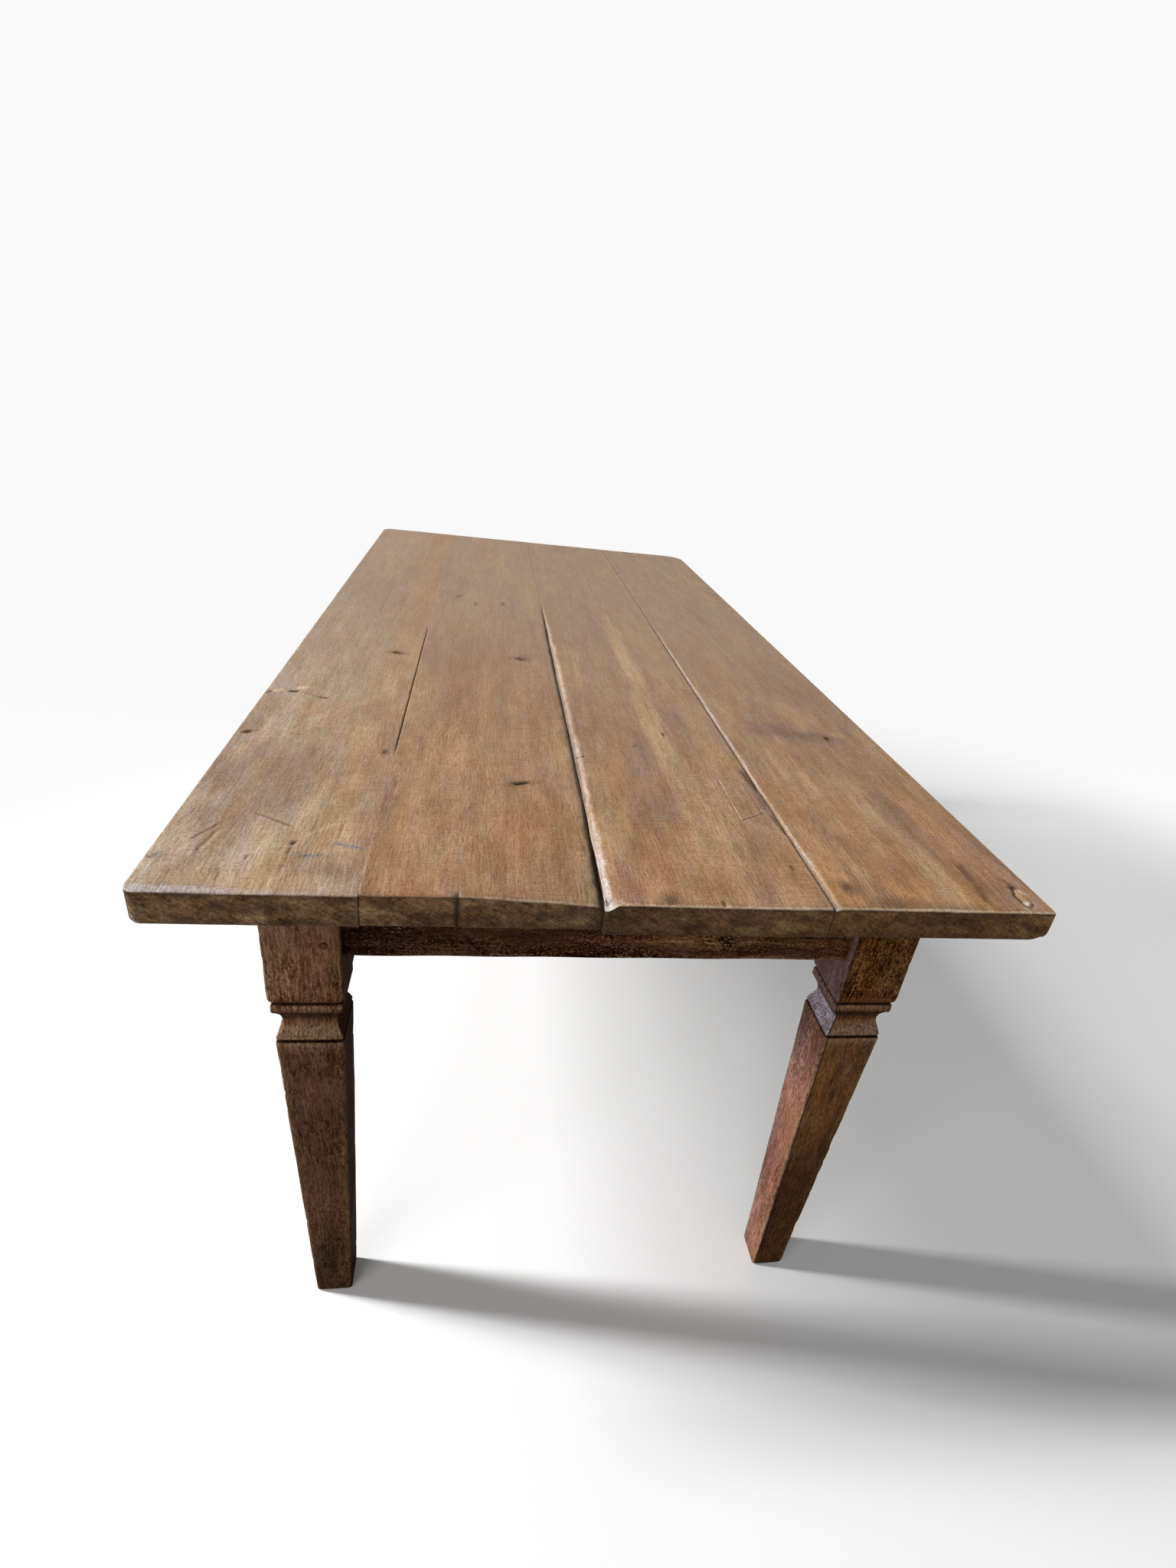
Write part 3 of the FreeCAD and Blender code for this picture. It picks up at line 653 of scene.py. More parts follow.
def zip_faces(upper, upper_at, lower, lower_at):
    """Triangles between two rows of points that run side by side, each with its position along the run."""
    faces, i, j = [], 0, 0
    while i < len(upper) - 1 or j < len(lower) - 1:
        if j == len(lower) - 1 or (i < len(upper) - 1 and upper_at[i + 1] <= lower_at[j + 1]):
            faces.append((upper[i], lower[j], upper[i + 1]))
            i += 1
        else:
            faces.append((upper[i], lower[j], lower[j + 1]))
            j += 1
    return faces


def border(count_x, count_y):
    """Grid places round the four sides of a grid, counter-clockwise from above, each side with its end corner."""
    i, j = np.arange(count_x), np.arange(count_y)
    sides = [(i, 0 * i), (0 * j + count_x - 1, j), (i[::-1], 0 * i + count_y - 1), (0 * j, j[::-1])]
    return [a * count_y + b for a, b in sides]


def grid_quads(count_x, count_y):
    """Faces of a grid seen from above."""
    return [(i * count_y + j, (i + 1) * count_y + j, (i + 1) * count_y + j + 1, i * count_y + j + 1)
            for i in range(count_x - 1) for j in range(count_y - 1)]


def grid_points(xs, ys, level):
    """Points of a grid at one level."""
    gx, gy = np.meshgrid(xs, ys, indexing="ij")
    return np.column_stack([gx.ravel(), gy.ravel(), np.full(gx.size, level)])


def slab(xs, ys, under_xs, under_ys, levels):
    """Closed box skin: a fine grid on top, rings down its walls and a coarser grid below. Levels run downwards."""
    top_points = grid_points(xs, ys, levels[0])
    points = [top_points]
    faces = grid_quads(len(xs), len(ys))
    sides = border(len(xs), len(ys))
    rim = np.concatenate([side[:-1] for side in sides])
    start = len(top_points)
    above = rim
    for level in levels[1:-1]:
        row = top_points[rim].copy()
        row[:, 2] = level
        points.append(row)
        below = np.arange(start, start + len(rim))
        corners = (above, below, np.roll(below, -1), np.roll(above, -1))
        faces += list(zip(*[corner.tolist() for corner in corners]))
        above, start = below, start + len(rim)
    points.append(grid_points(under_xs, under_ys, levels[-1]))
    faces += [tuple(start + place for place in reversed(face)) for face in grid_quads(len(under_xs), len(under_ys))]
    everything = np.concatenate(points)
    begin = 0
    for number, (side, lower) in enumerate(zip(sides, border(len(under_xs), len(under_ys)))):
        upper = np.append(above, above[0])[begin:begin + len(side)]
        begin += len(side) - 1
        axis, sign = number % 2, 1 if number < 2 else -1
        upper_at, lower_at = sign * everything[upper][:, axis], sign * everything[lower + start][:, axis]
        faces += zip_faces(upper.tolist(), upper_at, (lower + start).tolist(), lower_at)
    return everything, faces


# Wear of the boards

LIP_FADE = (-150.0, 200.0)
LIP_NARROWED = 0.25
LIP_LEAST = 0.05
LIP_RAGGED = ((0.30, 34.0, 0), (0.16, 7.0, 3))
# Growth of the fourth board's lip towards the near end
NEAR_LIP = (-1000.0, -780.0)
NEAR_LIP_GROWTH = 1.1
# Stretch over which the tight joint stands open, and where its boards come level
TIGHT_OPEN = (-690.0, -640.0, -120.0, -50.0)
TIGHT_LEVEL = 16.0
# Sideways shift of the edges at both joints: its reach, and how far they close or part
TIGHT_REACH = 3.0
TIGHT_SHUT = 0.395
TIGHT_PARTED = 0.12
WIDE_REACH = 4.0
WIDE_SHUT = 1.42
WIDE_HELD = 0.66
WIDE_RAGGED = (0.25, 45.0, 77)
WIDE_MOUTH = (-1000.0, -970.0)
WIDE_FADE = (20.0, 240.0)
TOP_SWELLS = ((0.35, 55.0, 420.0, 0), (0.16, 13.0, 150.0, 5))
NEAR_WEAR = 0.35
NEAR_WEAR_REACH = (0.0, 7.0)
KNOT_RIM = 0.22
# Height, sizes and seed of the noise in outlines
KNOT_RAGGED = (0.22, 4.0, 6.0, 31)
SPLIT_BEND = (0.6, 17.0, 17.0, 47)
CORNER_RAGGED = (0.35, 5.0, 5.0, 303)
RELIEF_DROP = 0.4
HOLLOW_DEPTH = 8.0
HOLLOW_WIDTH = 140.0
HOLLOW_LENGTH = 260.0
HOLLOW_CURVE = 1.3
BROKEN_CORNER = (17.0, 15.0)
BROKEN_CORNER_DEPTH = 4.5
CHIP_KNOT = Knot(445.0, -966.5, 11.5, 31.0, tilt=8.0)
CHIP_BALL = Knot(443.2, -980.5, 11.0, 11.0)
CHIP_RIDGE = Split(449.0, -953.0, 453.0, -967.0, 4.0)
CHIP_SOFT = (2.0, -2.0)
CHIP_FOOT = (1.5, -2.0)


def oval(x, y, knot):
    """Distance from a knot's middle, as 1 on its ragged outline."""
    turn = math.radians(knot.tilt)
    u = (x - knot.x) * math.cos(turn) - (y - knot.y) * math.sin(turn)
    v = (x - knot.x) * math.sin(turn) + (y - knot.y) * math.cos(turn)
    return np.hypot(u / (knot.across / 2), v / (knot.along / 2)) * (1.0 + swells(x, y, 0, KNOT_RAGGED))


def from_split(x, y, split):
    """Distance from a split's wandering line, and the share left of its strength towards its ends."""
    run = np.array([split.x1 - split.x0, split.y1 - split.y0], float)
    share = ((x - split.x0) * run[0] + (y - split.y0) * run[1]) / (run @ run)
    held = np.clip(share, 0.0, 1.0)
    bend = swells(x, y, 0, SPLIT_BEND)
    away = np.hypot(x - split.x0 - held * run[0] + bend, y - split.y0 - held * run[1] + bend)
    return away, smooth(-0.05, 0.15, share) * smooth(1.05, 0.8, share)


def lip_width(board, side, y):
    """Width of the worn lip along one side of a board, uneven and narrow towards the far end."""
    uneven = 1.0
    for height, size, step in LIP_RAGGED:
        uneven = uneven + height * ripples(y, size, 7 * board.number + side + step)
    if board.number == 4:
        uneven += NEAR_LIP_GROWTH * fade(*NEAR_LIP, y)
    narrowed = LIP_NARROWED + (1.0 - LIP_NARROWED) * fade(*LIP_FADE, y)
    return board.lips[side][0] * narrowed * uneven + LIP_LEAST


def lip_depth(board, side, width, y):
    """Depth of the lip where it has a width, less where its joint is shut."""
    full_width, depth = board.lips[side]
    depth = depth * (0.5 + 0.5 * np.minimum(width / full_width, 1.2))
    if (board.number, side) in TIGHT_JOINT:
        depth = depth * (0.05 + 0.95 * joint_open(y))
    if (board.number, side) in WIDE_JOINT:
        depth = depth * (1.0 - 0.95 * smooth(*WIDE_FADE, y))
    return depth


def joint_open(y):
    """Share by which the tight joint between the first two boards stands open, along one stretch of it."""
    return smooth(*TIGHT_OPEN[:2], y) * fade(*TIGHT_OPEN[2:], y)


def relief(board, x, y):
    """Height of the worn top surface of a board above its flat."""
    seed = 100 * board.number
    height = swells(x, y, seed, *TOP_SWELLS)
    for side, away in board.sides(x):
        if (board.number, side) in TIGHT_JOINT:
            height *= smooth(0.0, TIGHT_LEVEL, away)
        if board.lips[side][0]:
            width = lip_width(board, side, y)
            height -= lip_depth(board, side, width, y) * fade(0.0, 1.0, away / width)
    for knot in board.knots:
        reach = oval(x, y, knot)
        height -= knot.depth * fade(0.35, 1.0, reach)
        height += KNOT_RIM * knot.depth * smooth(0.8, 1.2, reach) * fade(1.2, 2.0, reach)
    for split in board.splits:
        away, strength = from_split(x, y, split)
        height -= split.depth * strength * fade(0.0, split.width, away)
    worn = 1.0 + 0.8 * ripples(x, 22.0, seed + 9)
    height -= NEAR_WEAR * worn * fade(*NEAR_WEAR_REACH, y - board.low[1])
    if board.number == 2:
        height -= near_hollow(board, x, y)
    if board.number == 3:
        height -= BROKEN_CORNER_DEPTH * broken_corner(board, x, y)
    if board.number == 4:
        height += chip_relief(x, y)
    return height


def near_hollow(board, x, y):
    """Depth of the hollow worn into the second board, deepest at the wide joint by the near end."""
    across = 1.0 - (board.high[0] - x) / HOLLOW_WIDTH
    along = 1.0 - (y - board.low[1]) / HOLLOW_LENGTH
    return HOLLOW_DEPTH * np.clip(across, 0, 1) ** HOLLOW_CURVE * smooth(0.0, 1.0, along)


def broken_corner(board, x, y):
    """Share of the break at the third board's near corner beside the wide joint."""
    reach = np.hypot((x - board.low[0]) / BROKEN_CORNER[0], (y - board.low[1]) / BROKEN_CORNER[1])
    return fade(0.3, 1.0, reach * (1.0 + swells(x, y, 0, CORNER_RAGGED)))


def chip_left(x, y):
    """1 on the left of the dead knot's long axis, 0 on its right."""
    lean = math.tan(math.radians(CHIP_KNOT.tilt))
    return smooth(*CHIP_SOFT, x - CHIP_KNOT.x - lean * (y - CHIP_KNOT.y))


def chip_relief(x, y):
    """Dead knot at the near right corner: a proud body and round end, with a groove to the left and round the foot."""
    reach, ball = oval(x, y, CHIP_KNOT), oval(x, y, CHIP_BALL)
    groove = bell(1.08, 0.24, reach) * (0.15 + 0.85 * chip_left(x, y))
    crescent = bell(1.15, 0.25, ball) * smooth(*CHIP_FOOT, y - CHIP_BALL.y)
    away, strength = from_split(x, y, CHIP_RIDGE)
    ridge = strength * fade(0.5, CHIP_RIDGE.width, away)
    proud = np.maximum(fade(0.5, 0.95, reach), fade(0.2, 0.9, ball))
    return 0.55 * proud + 0.4 * ridge - 2.0 * groove - 1.8 * crescent


def joint_shift(board, x, y):
    """Sideways shift at the joints: shut where the boards touch, parted along the tight joint's open stretch."""
    shift = np.zeros(len(x))
    for side, away in board.sides(x):
        outwards = 2.0 * side - 1.0
        if (board.number, side) in TIGHT_JOINT:
            shut = TIGHT_SHUT * (1.0 - joint_open(y)) - TIGHT_PARTED * joint_open(y)
            shift += outwards * fade(0.0, TIGHT_REACH, np.abs(away)) * shut
        if (board.number, side) in WIDE_JOINT:
            height, size, seed = WIDE_RAGGED
            held = WIDE_HELD + height * ripples(y, size, seed)
            shut = np.clip(held + fade(*WIDE_MOUTH, y) + smooth(*WIDE_FADE, y), 0.0, 1.0)
            shift += outwards * WIDE_SHUT * shut * fade(0.0, WIDE_REACH, np.abs(away))
    return shift


def top_round(board, side):
    """Drop and reach of the round along the upper edge of one long side."""
    if (board.number, side) == NOSE_SIDE:
        return NOSE
    outer = board.lips[side][0] == 0.0
    arris = TOP_ARRIS if outer else TIGHT_ARRIS if (board.number, side) in TIGHT_JOINT else JOINT_ARRIS
    return arris, arris


def board_form(board, points):
    """Box points taken to the board's rounded outline, before its wear."""
    x, y, z = points.T.copy()
    low, high = board.low, board.high
    edges, ends = [((low[axis], 1.0), (high[axis], -1.0)) for axis in (0, 1)]
    for end, sign in ends:
        y, z = eased(y, z, end, sign, high[2], 1.0, TOP_ARRIS, TOP_ARRIS)
        y, z = eased(y, z, end, sign, low[2], -1.0, END_UNDER_ROUND, END_UNDER_ROUND)
    for side, (edge, sign) in enumerate(edges):
        x, z = eased(x, z, edge, sign, high[2], 1.0, *top_round(board, side))
        x, z = eased(x, z, edge, sign, low[2], -1.0, *board.unders[side])
    for radius, ((end, sign_y), (edge, sign_x)) in zip(board.corners, product(ends, edges)):
        a, b = round_corner(sign_x * (x - edge), sign_y * (y - end), radius)
        x, y = edge + sign_x * a, end + sign_y * b
    return x + joint_shift(board, x, y), y, z


# Colours of the boards

BOARD_WASHES = (
    ("russet", 0.17, (0.1, 0.9), (26.0, 420.0), 0, 2),
    ("straw", 0.13, (0.1, 0.9), (17.0, 460.0), 1, 2),
    ("plum", 0.42, (0.1, 0.9), (70.0, 230.0), 2, 3),
    ("straw", 0.38, (0.1, 0.9), (60.0, 210.0), 3, 3),
    ("russet", 0.24, (0.0, 0.9), (22.0, 44.0), 10, 3),
)
END_WASHES = (
    ("end_ochre", 0.75, (0.1, 0.9), (40.0, 11.0), 8, 3),
    ("end_dark", 0.75, (0.0, 0.9), (30.0, 13.0), 9, 3),
)
# Strength of the washes by the near end, and how much of it is lost towards the far one
LIVELY = (1.60, 1.05)
LIVELY_REACH = (-950.0, 0.0)
# Stretch over which painted sheen greys the top towards its far end
FAR_SHEEN_REACH = (-980.0, 350.0)
# For each board: amber by the near end, dirt behind the near arris and the painted highlight on it, and shade of its
# ends
NEAR_AMBER = (0.0, 0.26, 0.34, 0.85)
NEAR_AMBER_REACH = (-970.0, -650.0)
NEAR_EDGES = ((0.12, 0.10), (0.24, 0.46), (0.32, 0.80), (0.35, 0.84))
END_SHADES = ((1.40, 1.36, 1.34), (1.36, 1.32, 1.30), (1.00, 0.92, 0.80), (1.00, 0.86, 0.68))
# Reach of the dirt behind the near arris, and of the painted highlight on it
DIRT_REACH = (3.0, 10.0)
NEAR_HIGHLIGHT_REACH = (1.4, 4.4)
# Stretch of the second board whose near arris has the painted highlight, and of the first whose arris has a wider pale
# lilac one
NEAR_HIGHLIGHT_FROM = (-200.0, -120.0)
BLOOM_HIGHLIGHT_UPTO = (-430.0, -270.0)
# Reach from the wide joint over which the ends are darker
JOINT_DARKER_REACH = (0.0, 46.0)
WORN_CORNER = (13.0, 15.0)
UNDER_SHADE = 0.55
UNDER_REACH = (3.0, 0.5)
# Reach of the dark at the joints, with painted shade beside the wide one
SOOT_AND_SHADE_REACH = (0.0, 1.6)
MOSS_REACH = (2.0, 9.0)
# Stretch beside the wide joint where moss and dark edge with painted shade grow towards the near end, and by how much
BY_END = (-1000.0, -560.0)
SPREAD_BY_END = 6.0


def board_paint(board, x, y, z, facing_up, end_share):
    """Colour of each point of a board, from its tone, marks, lips and edges."""
    seed = 100 * board.number + 50
    paint = plain(board.tone, len(x))
    # Painted sheen of the white backdrop, greying the top towards its far end
    toward(paint, "greyed_and_sheen", 0.90 * smooth(*FAR_SHEEN_REACH, y))
    toward(paint, "amber", NEAR_AMBER[board.number - 1] * fade(*NEAR_AMBER_REACH, y))
    if board.number == 1:
        toward(paint, "honey", 0.75 * smooth(-380.0, -275.0, x) * smooth(-985.0, -900.0, y))
    wash(paint, BOARD_WASHES, x, y, seed, LIVELY[0] - LIVELY[1] * smooth(*LIVELY_REACH, y))
    paint_marks(board, paint, x, y, 1.0 + 0.3 * waves(x, y, 9.0, 60.0, seed + 4))
    paint_near_arris(board, paint, x, y, seed)
    paint_lips(board, paint, x, y)
    if board.number == 4:
        paint_chip(paint, x, y)
        toward(paint, "umber", 0.35 * fade(0.0, 6.0, board.high[0] - x))
    walls = wall_paint(board, x, y, z, end_share, seed)
    return paint * facing_up[:, None] + walls * (1.0 - facing_up[:, None])


def paint_marks(board, paint, x, y, uneven):
    """Colours of stains, knots and splits."""
    for stain in board.stains:
        reach = np.hypot((x - stain.x) / (stain.across / 2), (y - stain.y) / (stain.along / 2)) * uneven
        toward(paint, stain.tone, stain.amount * fade(0.25, 1.1, reach))
    for knot in board.knots:
        reach = oval(x, y, knot)
        toward(paint, "umber", 0.55 * fade(0.9, 2.4, reach))
        toward(paint, "soot_and_shade", 0.92 * fade(0.45, 1.10, reach) * min(1.0, knot.depth / 1.2))
    for split in board.splits:
        away, strength = from_split(x, y, split)
        toward(paint, split.tone, 0.90 * strength * fade(0.35 * split.width, 1.1 * split.width, away))


def paint_near_arris(board, paint, x, y, seed):
    """Painted highlight along the near arris, with dirt behind it and a wider pale lilac one on the first board."""
    near = y - board.low[1]
    ragged = waves(x, y, 16.0, 5.0, seed + 6)
    dirt, arris_highlight = NEAR_EDGES[board.number - 1]
    toward(paint, "umber", dirt * fade(*DIRT_REACH, near + 2.0 * ragged))
    if board.number == 2:
        arris_highlight = arris_highlight * smooth(*NEAR_HIGHLIGHT_FROM, x)
    # Painted highlight along the near arris
    toward(paint, "rubbed_and_highlight", arris_highlight * fade(*NEAR_HIGHLIGHT_REACH, near + 1.2 * ragged))
    if board.number == 1:
        # Wider pale lilac painted highlight on the first board's near arris, towards its left
        left = fade(*BLOOM_HIGHLIGHT_UPTO, x)
        toward(paint, "bloom_and_highlight", 0.75 * left * fade(2.0 + 4.0 * left, 5.0 + 9.0 * left, near + 2.0 * ragged))
        toward(paint, "rubbed_and_highlight", 0.35 * fade(0.0, 5.0, x - board.low[0]))


def wall_paint(board, x, y, z, end_share, seed):
    """Colours of a board's long sides, ends and underside, with painted shade in joint gaps and under the ends' arris.
    """
    up, down = z - board.low[2], board.high[2] - z
    sides = plain("umber", len(x))
    toward(sides, "honey", 0.4 * smooth(0.0, 1.0, waves(y, z, 60.0, 9.0, seed + 7)))
    for side, away in board.sides(x):
        if board.lips[side][0]:
            # Painted shade on the walls inside the joint gaps
            toward(sides, "soot_and_shade", 0.85 * fade(2.0, 6.0, away) * smooth(0.0, 6.0, up))
    ragged = waves(x, z, 14.0, 7.0, seed + 6)
    ends = plain("end_grain", len(x))
    wash(ends, END_WASHES, x, z, seed)
    toward(ends, "end_dark", 0.70 * fade(0.0, 12.0, up + 4.0 * ragged))
    # Painted shade along the top of the end, under its arris
    toward(ends, "soot_and_shade", 0.55 * fade(2.5, 6.0, down))
    ends = ends * np.array(END_SHADES[board.number - 1])
    for side, away in board.sides(x):
        if (board.number, side) in WIDE_JOINT:
            # Ends darker towards the wide joint
            toward(ends, "soot_and_shade", 0.62 * fade(*JOINT_DARKER_REACH, away + 8.0 * ragged))
    if board.number == 1:
        corner = np.hypot((x - board.low[0]) / WORN_CORNER[0], up / WORN_CORNER[1])
        toward(ends, "rubbed_and_highlight", 0.45 * fade(0.5, 1.1, corner * (1.0 + 0.3 * ragged)))
    below = plain("raw", len(x)) * UNDER_SHADE
    walls = sides * (1.0 - end_share[:, None]) + ends * end_share[:, None]
    under = smooth(*UNDER_REACH, up)[:, None] * (1.0 - end_share[:, None])
    return walls * (1.0 - under) + below * under


def paint_lips(board, paint, x, y):
    """Pale worn lips beside the joints, and dirt in the joints themselves."""
    far = smooth(*LIP_FADE, y)
    for side, away in board.sides(x):
        width = board.lips[side][0]
        if width == 0.0:
            continue
        if (board.number, side) in TIGHT_JOINT:
            toward(paint, "soot_and_shade", 0.36 * fade(*SOOT_AND_SHADE_REACH, away) * joint_open(y))
            toward(paint, "rubbed_and_highlight", 0.50 * fade(0.2, 1.6, away) * fade(-925.0, -880.0, y))
        elif width < 2.0:
            toward(paint, "soot_and_shade", 0.92 * fade(1.2, 4.0, away) * (1.0 - 0.7 * far))
        elif board.number == 2:
            by_end = fade(*BY_END, y)
            ragged = away * (1.0 + 0.5 * waves(x, y, 4.0, 19.0, 67))
            moss = fade(MOSS_REACH[0], MOSS_REACH[1] + SPREAD_BY_END * by_end, ragged)
            toward(paint, "moss", 0.60 * moss * (1.0 - far))
            # Dark edge by the wide joint, with painted shade of the step up to the third board
            soot_and_shade = fade(SOOT_AND_SHADE_REACH[0], SOOT_AND_SHADE_REACH[1] + SPREAD_BY_END * by_end, ragged)
            toward(paint, "soot_and_shade", 0.88 * soot_and_shade * fade(*WIDE_FADE, y))
        else:
            lip = fade(0.60, 1.15, away / lip_width(board, side, y)) * (0.80 + 0.35 * waves(x, y, 5.0, 14.0, 61))
            amount = 0.48 if board.number == 3 else 0.36 + 0.25 * fade(*NEAR_LIP, y)
            toward(paint, "rubbed_and_highlight", amount * lip * (1.0 - 0.95 * far))
            bloom_and_highlight = 0.80 - 0.55 * smooth(-960.0, -640.0, y) if board.number == 3 else 0.36
            toward(paint, "bloom_and_highlight", bloom_and_highlight * lip * (1.0 - far))
            if board.number == 3:
                toward(paint, "bloom_and_highlight", 0.60 * broken_corner(board, x, y))


def paint_chip(paint, x, y):
    """Colours of the dead knot at the near right corner, with painted highlights on its ridge, tip and round end."""
    reach, ball = oval(x, y, CHIP_KNOT), oval(x, y, CHIP_BALL)
    left = chip_left(x, y)
    body = fade(0.75, 1.0, reach)
    toward(paint, "amber", 0.85 * body)
    toward(paint, "straw", 0.75 * body * smooth(-0.5, 0.4, waves(x, y, 5.0, 6.0, 91)))
    toward(paint, "soot_and_shade", 0.98 * bell(1.12, 0.24, reach) * left)
    toward(paint, "umber", 0.75 * bell(1.12, 0.15, reach) * (1.0 - left))
    away, strength = from_split(x, y, CHIP_RIDGE)
    # Painted highlight along the ridge on its right
    toward(paint, "sapwood_and_highlight", 0.95 * strength * fade(1.2, CHIP_RIDGE.width + 0.6, away))
    toward(paint, "bloom_and_highlight", 0.50 * strength * fade(0.4, 2.6, away))
    # Painted glint at the ridge's tip
    tip = np.hypot(x - CHIP_RIDGE.x1, y - CHIP_RIDGE.y1)
    toward(paint, "amber", 0.90 * fade(1.5, 4.0, tip))
    # Painted highlight on the round end
    toward(paint, "rubbed_and_highlight", 0.95 * fade(0.5, 0.98, ball))
    toward(paint, "bloom_and_highlight", 0.60 * fade(0.1, 0.6, ball))
    toward(paint, "soot_and_shade", 0.98 * bell(1.2, 0.22, ball) * smooth(*CHIP_FOOT, y - CHIP_BALL.y))


# Boards and the patch, built

PATCH_GAP = 0.7
PATCH_WALL = 0.45
PATCH_STEPS = (-PATCH_GAP, -PATCH_GAP + PATCH_WALL)
PATCH_DEPTH = 8.3
PATCH_SKEW = 10.0
PATCH_SKEW_REACH = 36.0
PATCH_SKEW_SIDES = (1.2, 2.2)
PATCH_ARRIS = 0.8
PATCH_SUNK = 0.15
PATCH_EDGES = (0.3, 0.7, 1.3, 2.2)
PATCH_GRID = (3.0, 4.0)
PATCH_UNDER_GRID = (15.0, 30.0)
PATCH_DROPS = (0.0, 0.4, 1.0, 3.0)
END_HEWN = 0.8
END_SWELLS = ((0.5, 40.0, 14.0, 0), (0.25, 9.0, 5.0, 3))
# Depth below the top over which its colour gives way to that of the walls, and depth of the end's colour
UP_SPAN = (2.2, 0.8)
END_SPAN = (0.5, 2.5)
# Split down the near end of the second board: depth, width and width of the dirt in it
END_SPLIT = (3.2, 1.5, 2.2)
patch_low, patch_high = node_box("board_patch")


def patch_recess(x, y):
    """Share of the patch's recess at each point of the third board."""
    across, along = [np.minimum(value - patch_low[axis], patch_high[axis] - value) for axis, value in enumerate((x, y))]
    return smooth(*PATCH_STEPS, np.minimum(across, along))


def patch_skew(x, y):
    """Shift along the board that sets the patch's near end askew, with the board round it."""
    share = (x - (patch_low[0] + patch_high[0]) / 2) / ((patch_high[0] - patch_low[0]) / 2)
    held = np.clip(share, -PATCH_SKEW_SIDES[0], PATCH_SKEW_SIDES[0])
    askew = PATCH_SKEW * held * fade(*PATCH_SKEW_SIDES, np.abs(share))
    return askew * fade(0.0, PATCH_SKEW_REACH, np.abs(y - patch_low[1]))


def board_grid(board):
    """Lines across and along a board's top, finer at its edges, marks and patch, and those of its underside."""
    low, high = board.low, board.high
    windows = [(knot.y, knot.along * KNOT_ROWS[0], max(KNOT_STEP, knot.along * KNOT_ROWS[1]))
               for knot in board.knots if knot.across > KNOT_LEAST]
    windows.append((low[1] + NEAR_ZONE / 2, NEAR_ZONE / 2, NEAR_STEP))
    windows += FINE_ROWS.get(board.number, [])
    top = [grid_lines(low[0], high[0], ACROSS_STEP, EDGE_LINES)]
    top.append(grid_lines(low[1], high[1], ALONG_STEP, EDGE_LINES, windows))
    if board.number == 3:
        for axis in (0, 1):
            rims = [patch_low[axis] + step for step in PATCH_STEPS] + [patch_high[axis] - step for step in PATCH_STEPS]
            top[axis] = np.array(sorted([*top[axis], *rims]))
    under = [grid_lines(low[axis], high[axis], UNDER_STEP * (1 + axis), UNDER_EDGES) for axis in (0, 1)]
    return top + under


def build_board(board):
    """Worn top board with its marks."""
    low, high = board.low, board.high
    levels = [high[2]] + [low[2] + share * (high[2] - low[2]) for share in WALL_SHARES] + [low[2]]
    points, faces = slab(*board_grid(board), levels)
    box_x, box_y, box_z = points.T
    x, y, z = board_form(board, points)
    on_top = smooth(0.25, 1.0, (box_z - low[2]) / (high[2] - low[2]))
    facing_up = smooth(*UP_SPAN, high[2] - box_z)
    end_share = fade(*END_SPAN, np.minimum(box_y - low[1], high[1] - box_y))
    near_share = fade(*END_SPAN, box_y - low[1])
    z = np.minimum(z + (relief(board, x, y) - RELIEF_DROP) * on_top, high[2])
    hewn = END_HEWN + swells(x, z, 5, *END_SWELLS)
    y = y - np.sign(box_y) * hewn * end_share * (1.0 - facing_up)
    paint = board_paint(board, x, y, z, facing_up, end_share)
    if board.number == 2:
        away = x - board.splits[0].x0 - 0.6 * waves(z, z, 9.0, 9.0, 3)
        depth, width, dirt = END_SPLIT
        y = y + depth * bell(0.0, width, away) * near_share
        toward(paint, "soot_and_shade", 0.98 * bell(0.0, dirt, away) * near_share * (1.0 - facing_up))
    if board.number == 3:
        z = z - PATCH_DEPTH * patch_recess(box_x, box_y) * (box_z == high[2])
        y = y + patch_skew(box_x, box_y) * facing_up
    return make_piece(f"worn_board_{board.number}", np.column_stack([x, y, z]), faces, paint,
                      end_share * (1.0 - facing_up), top_wood, board.node)


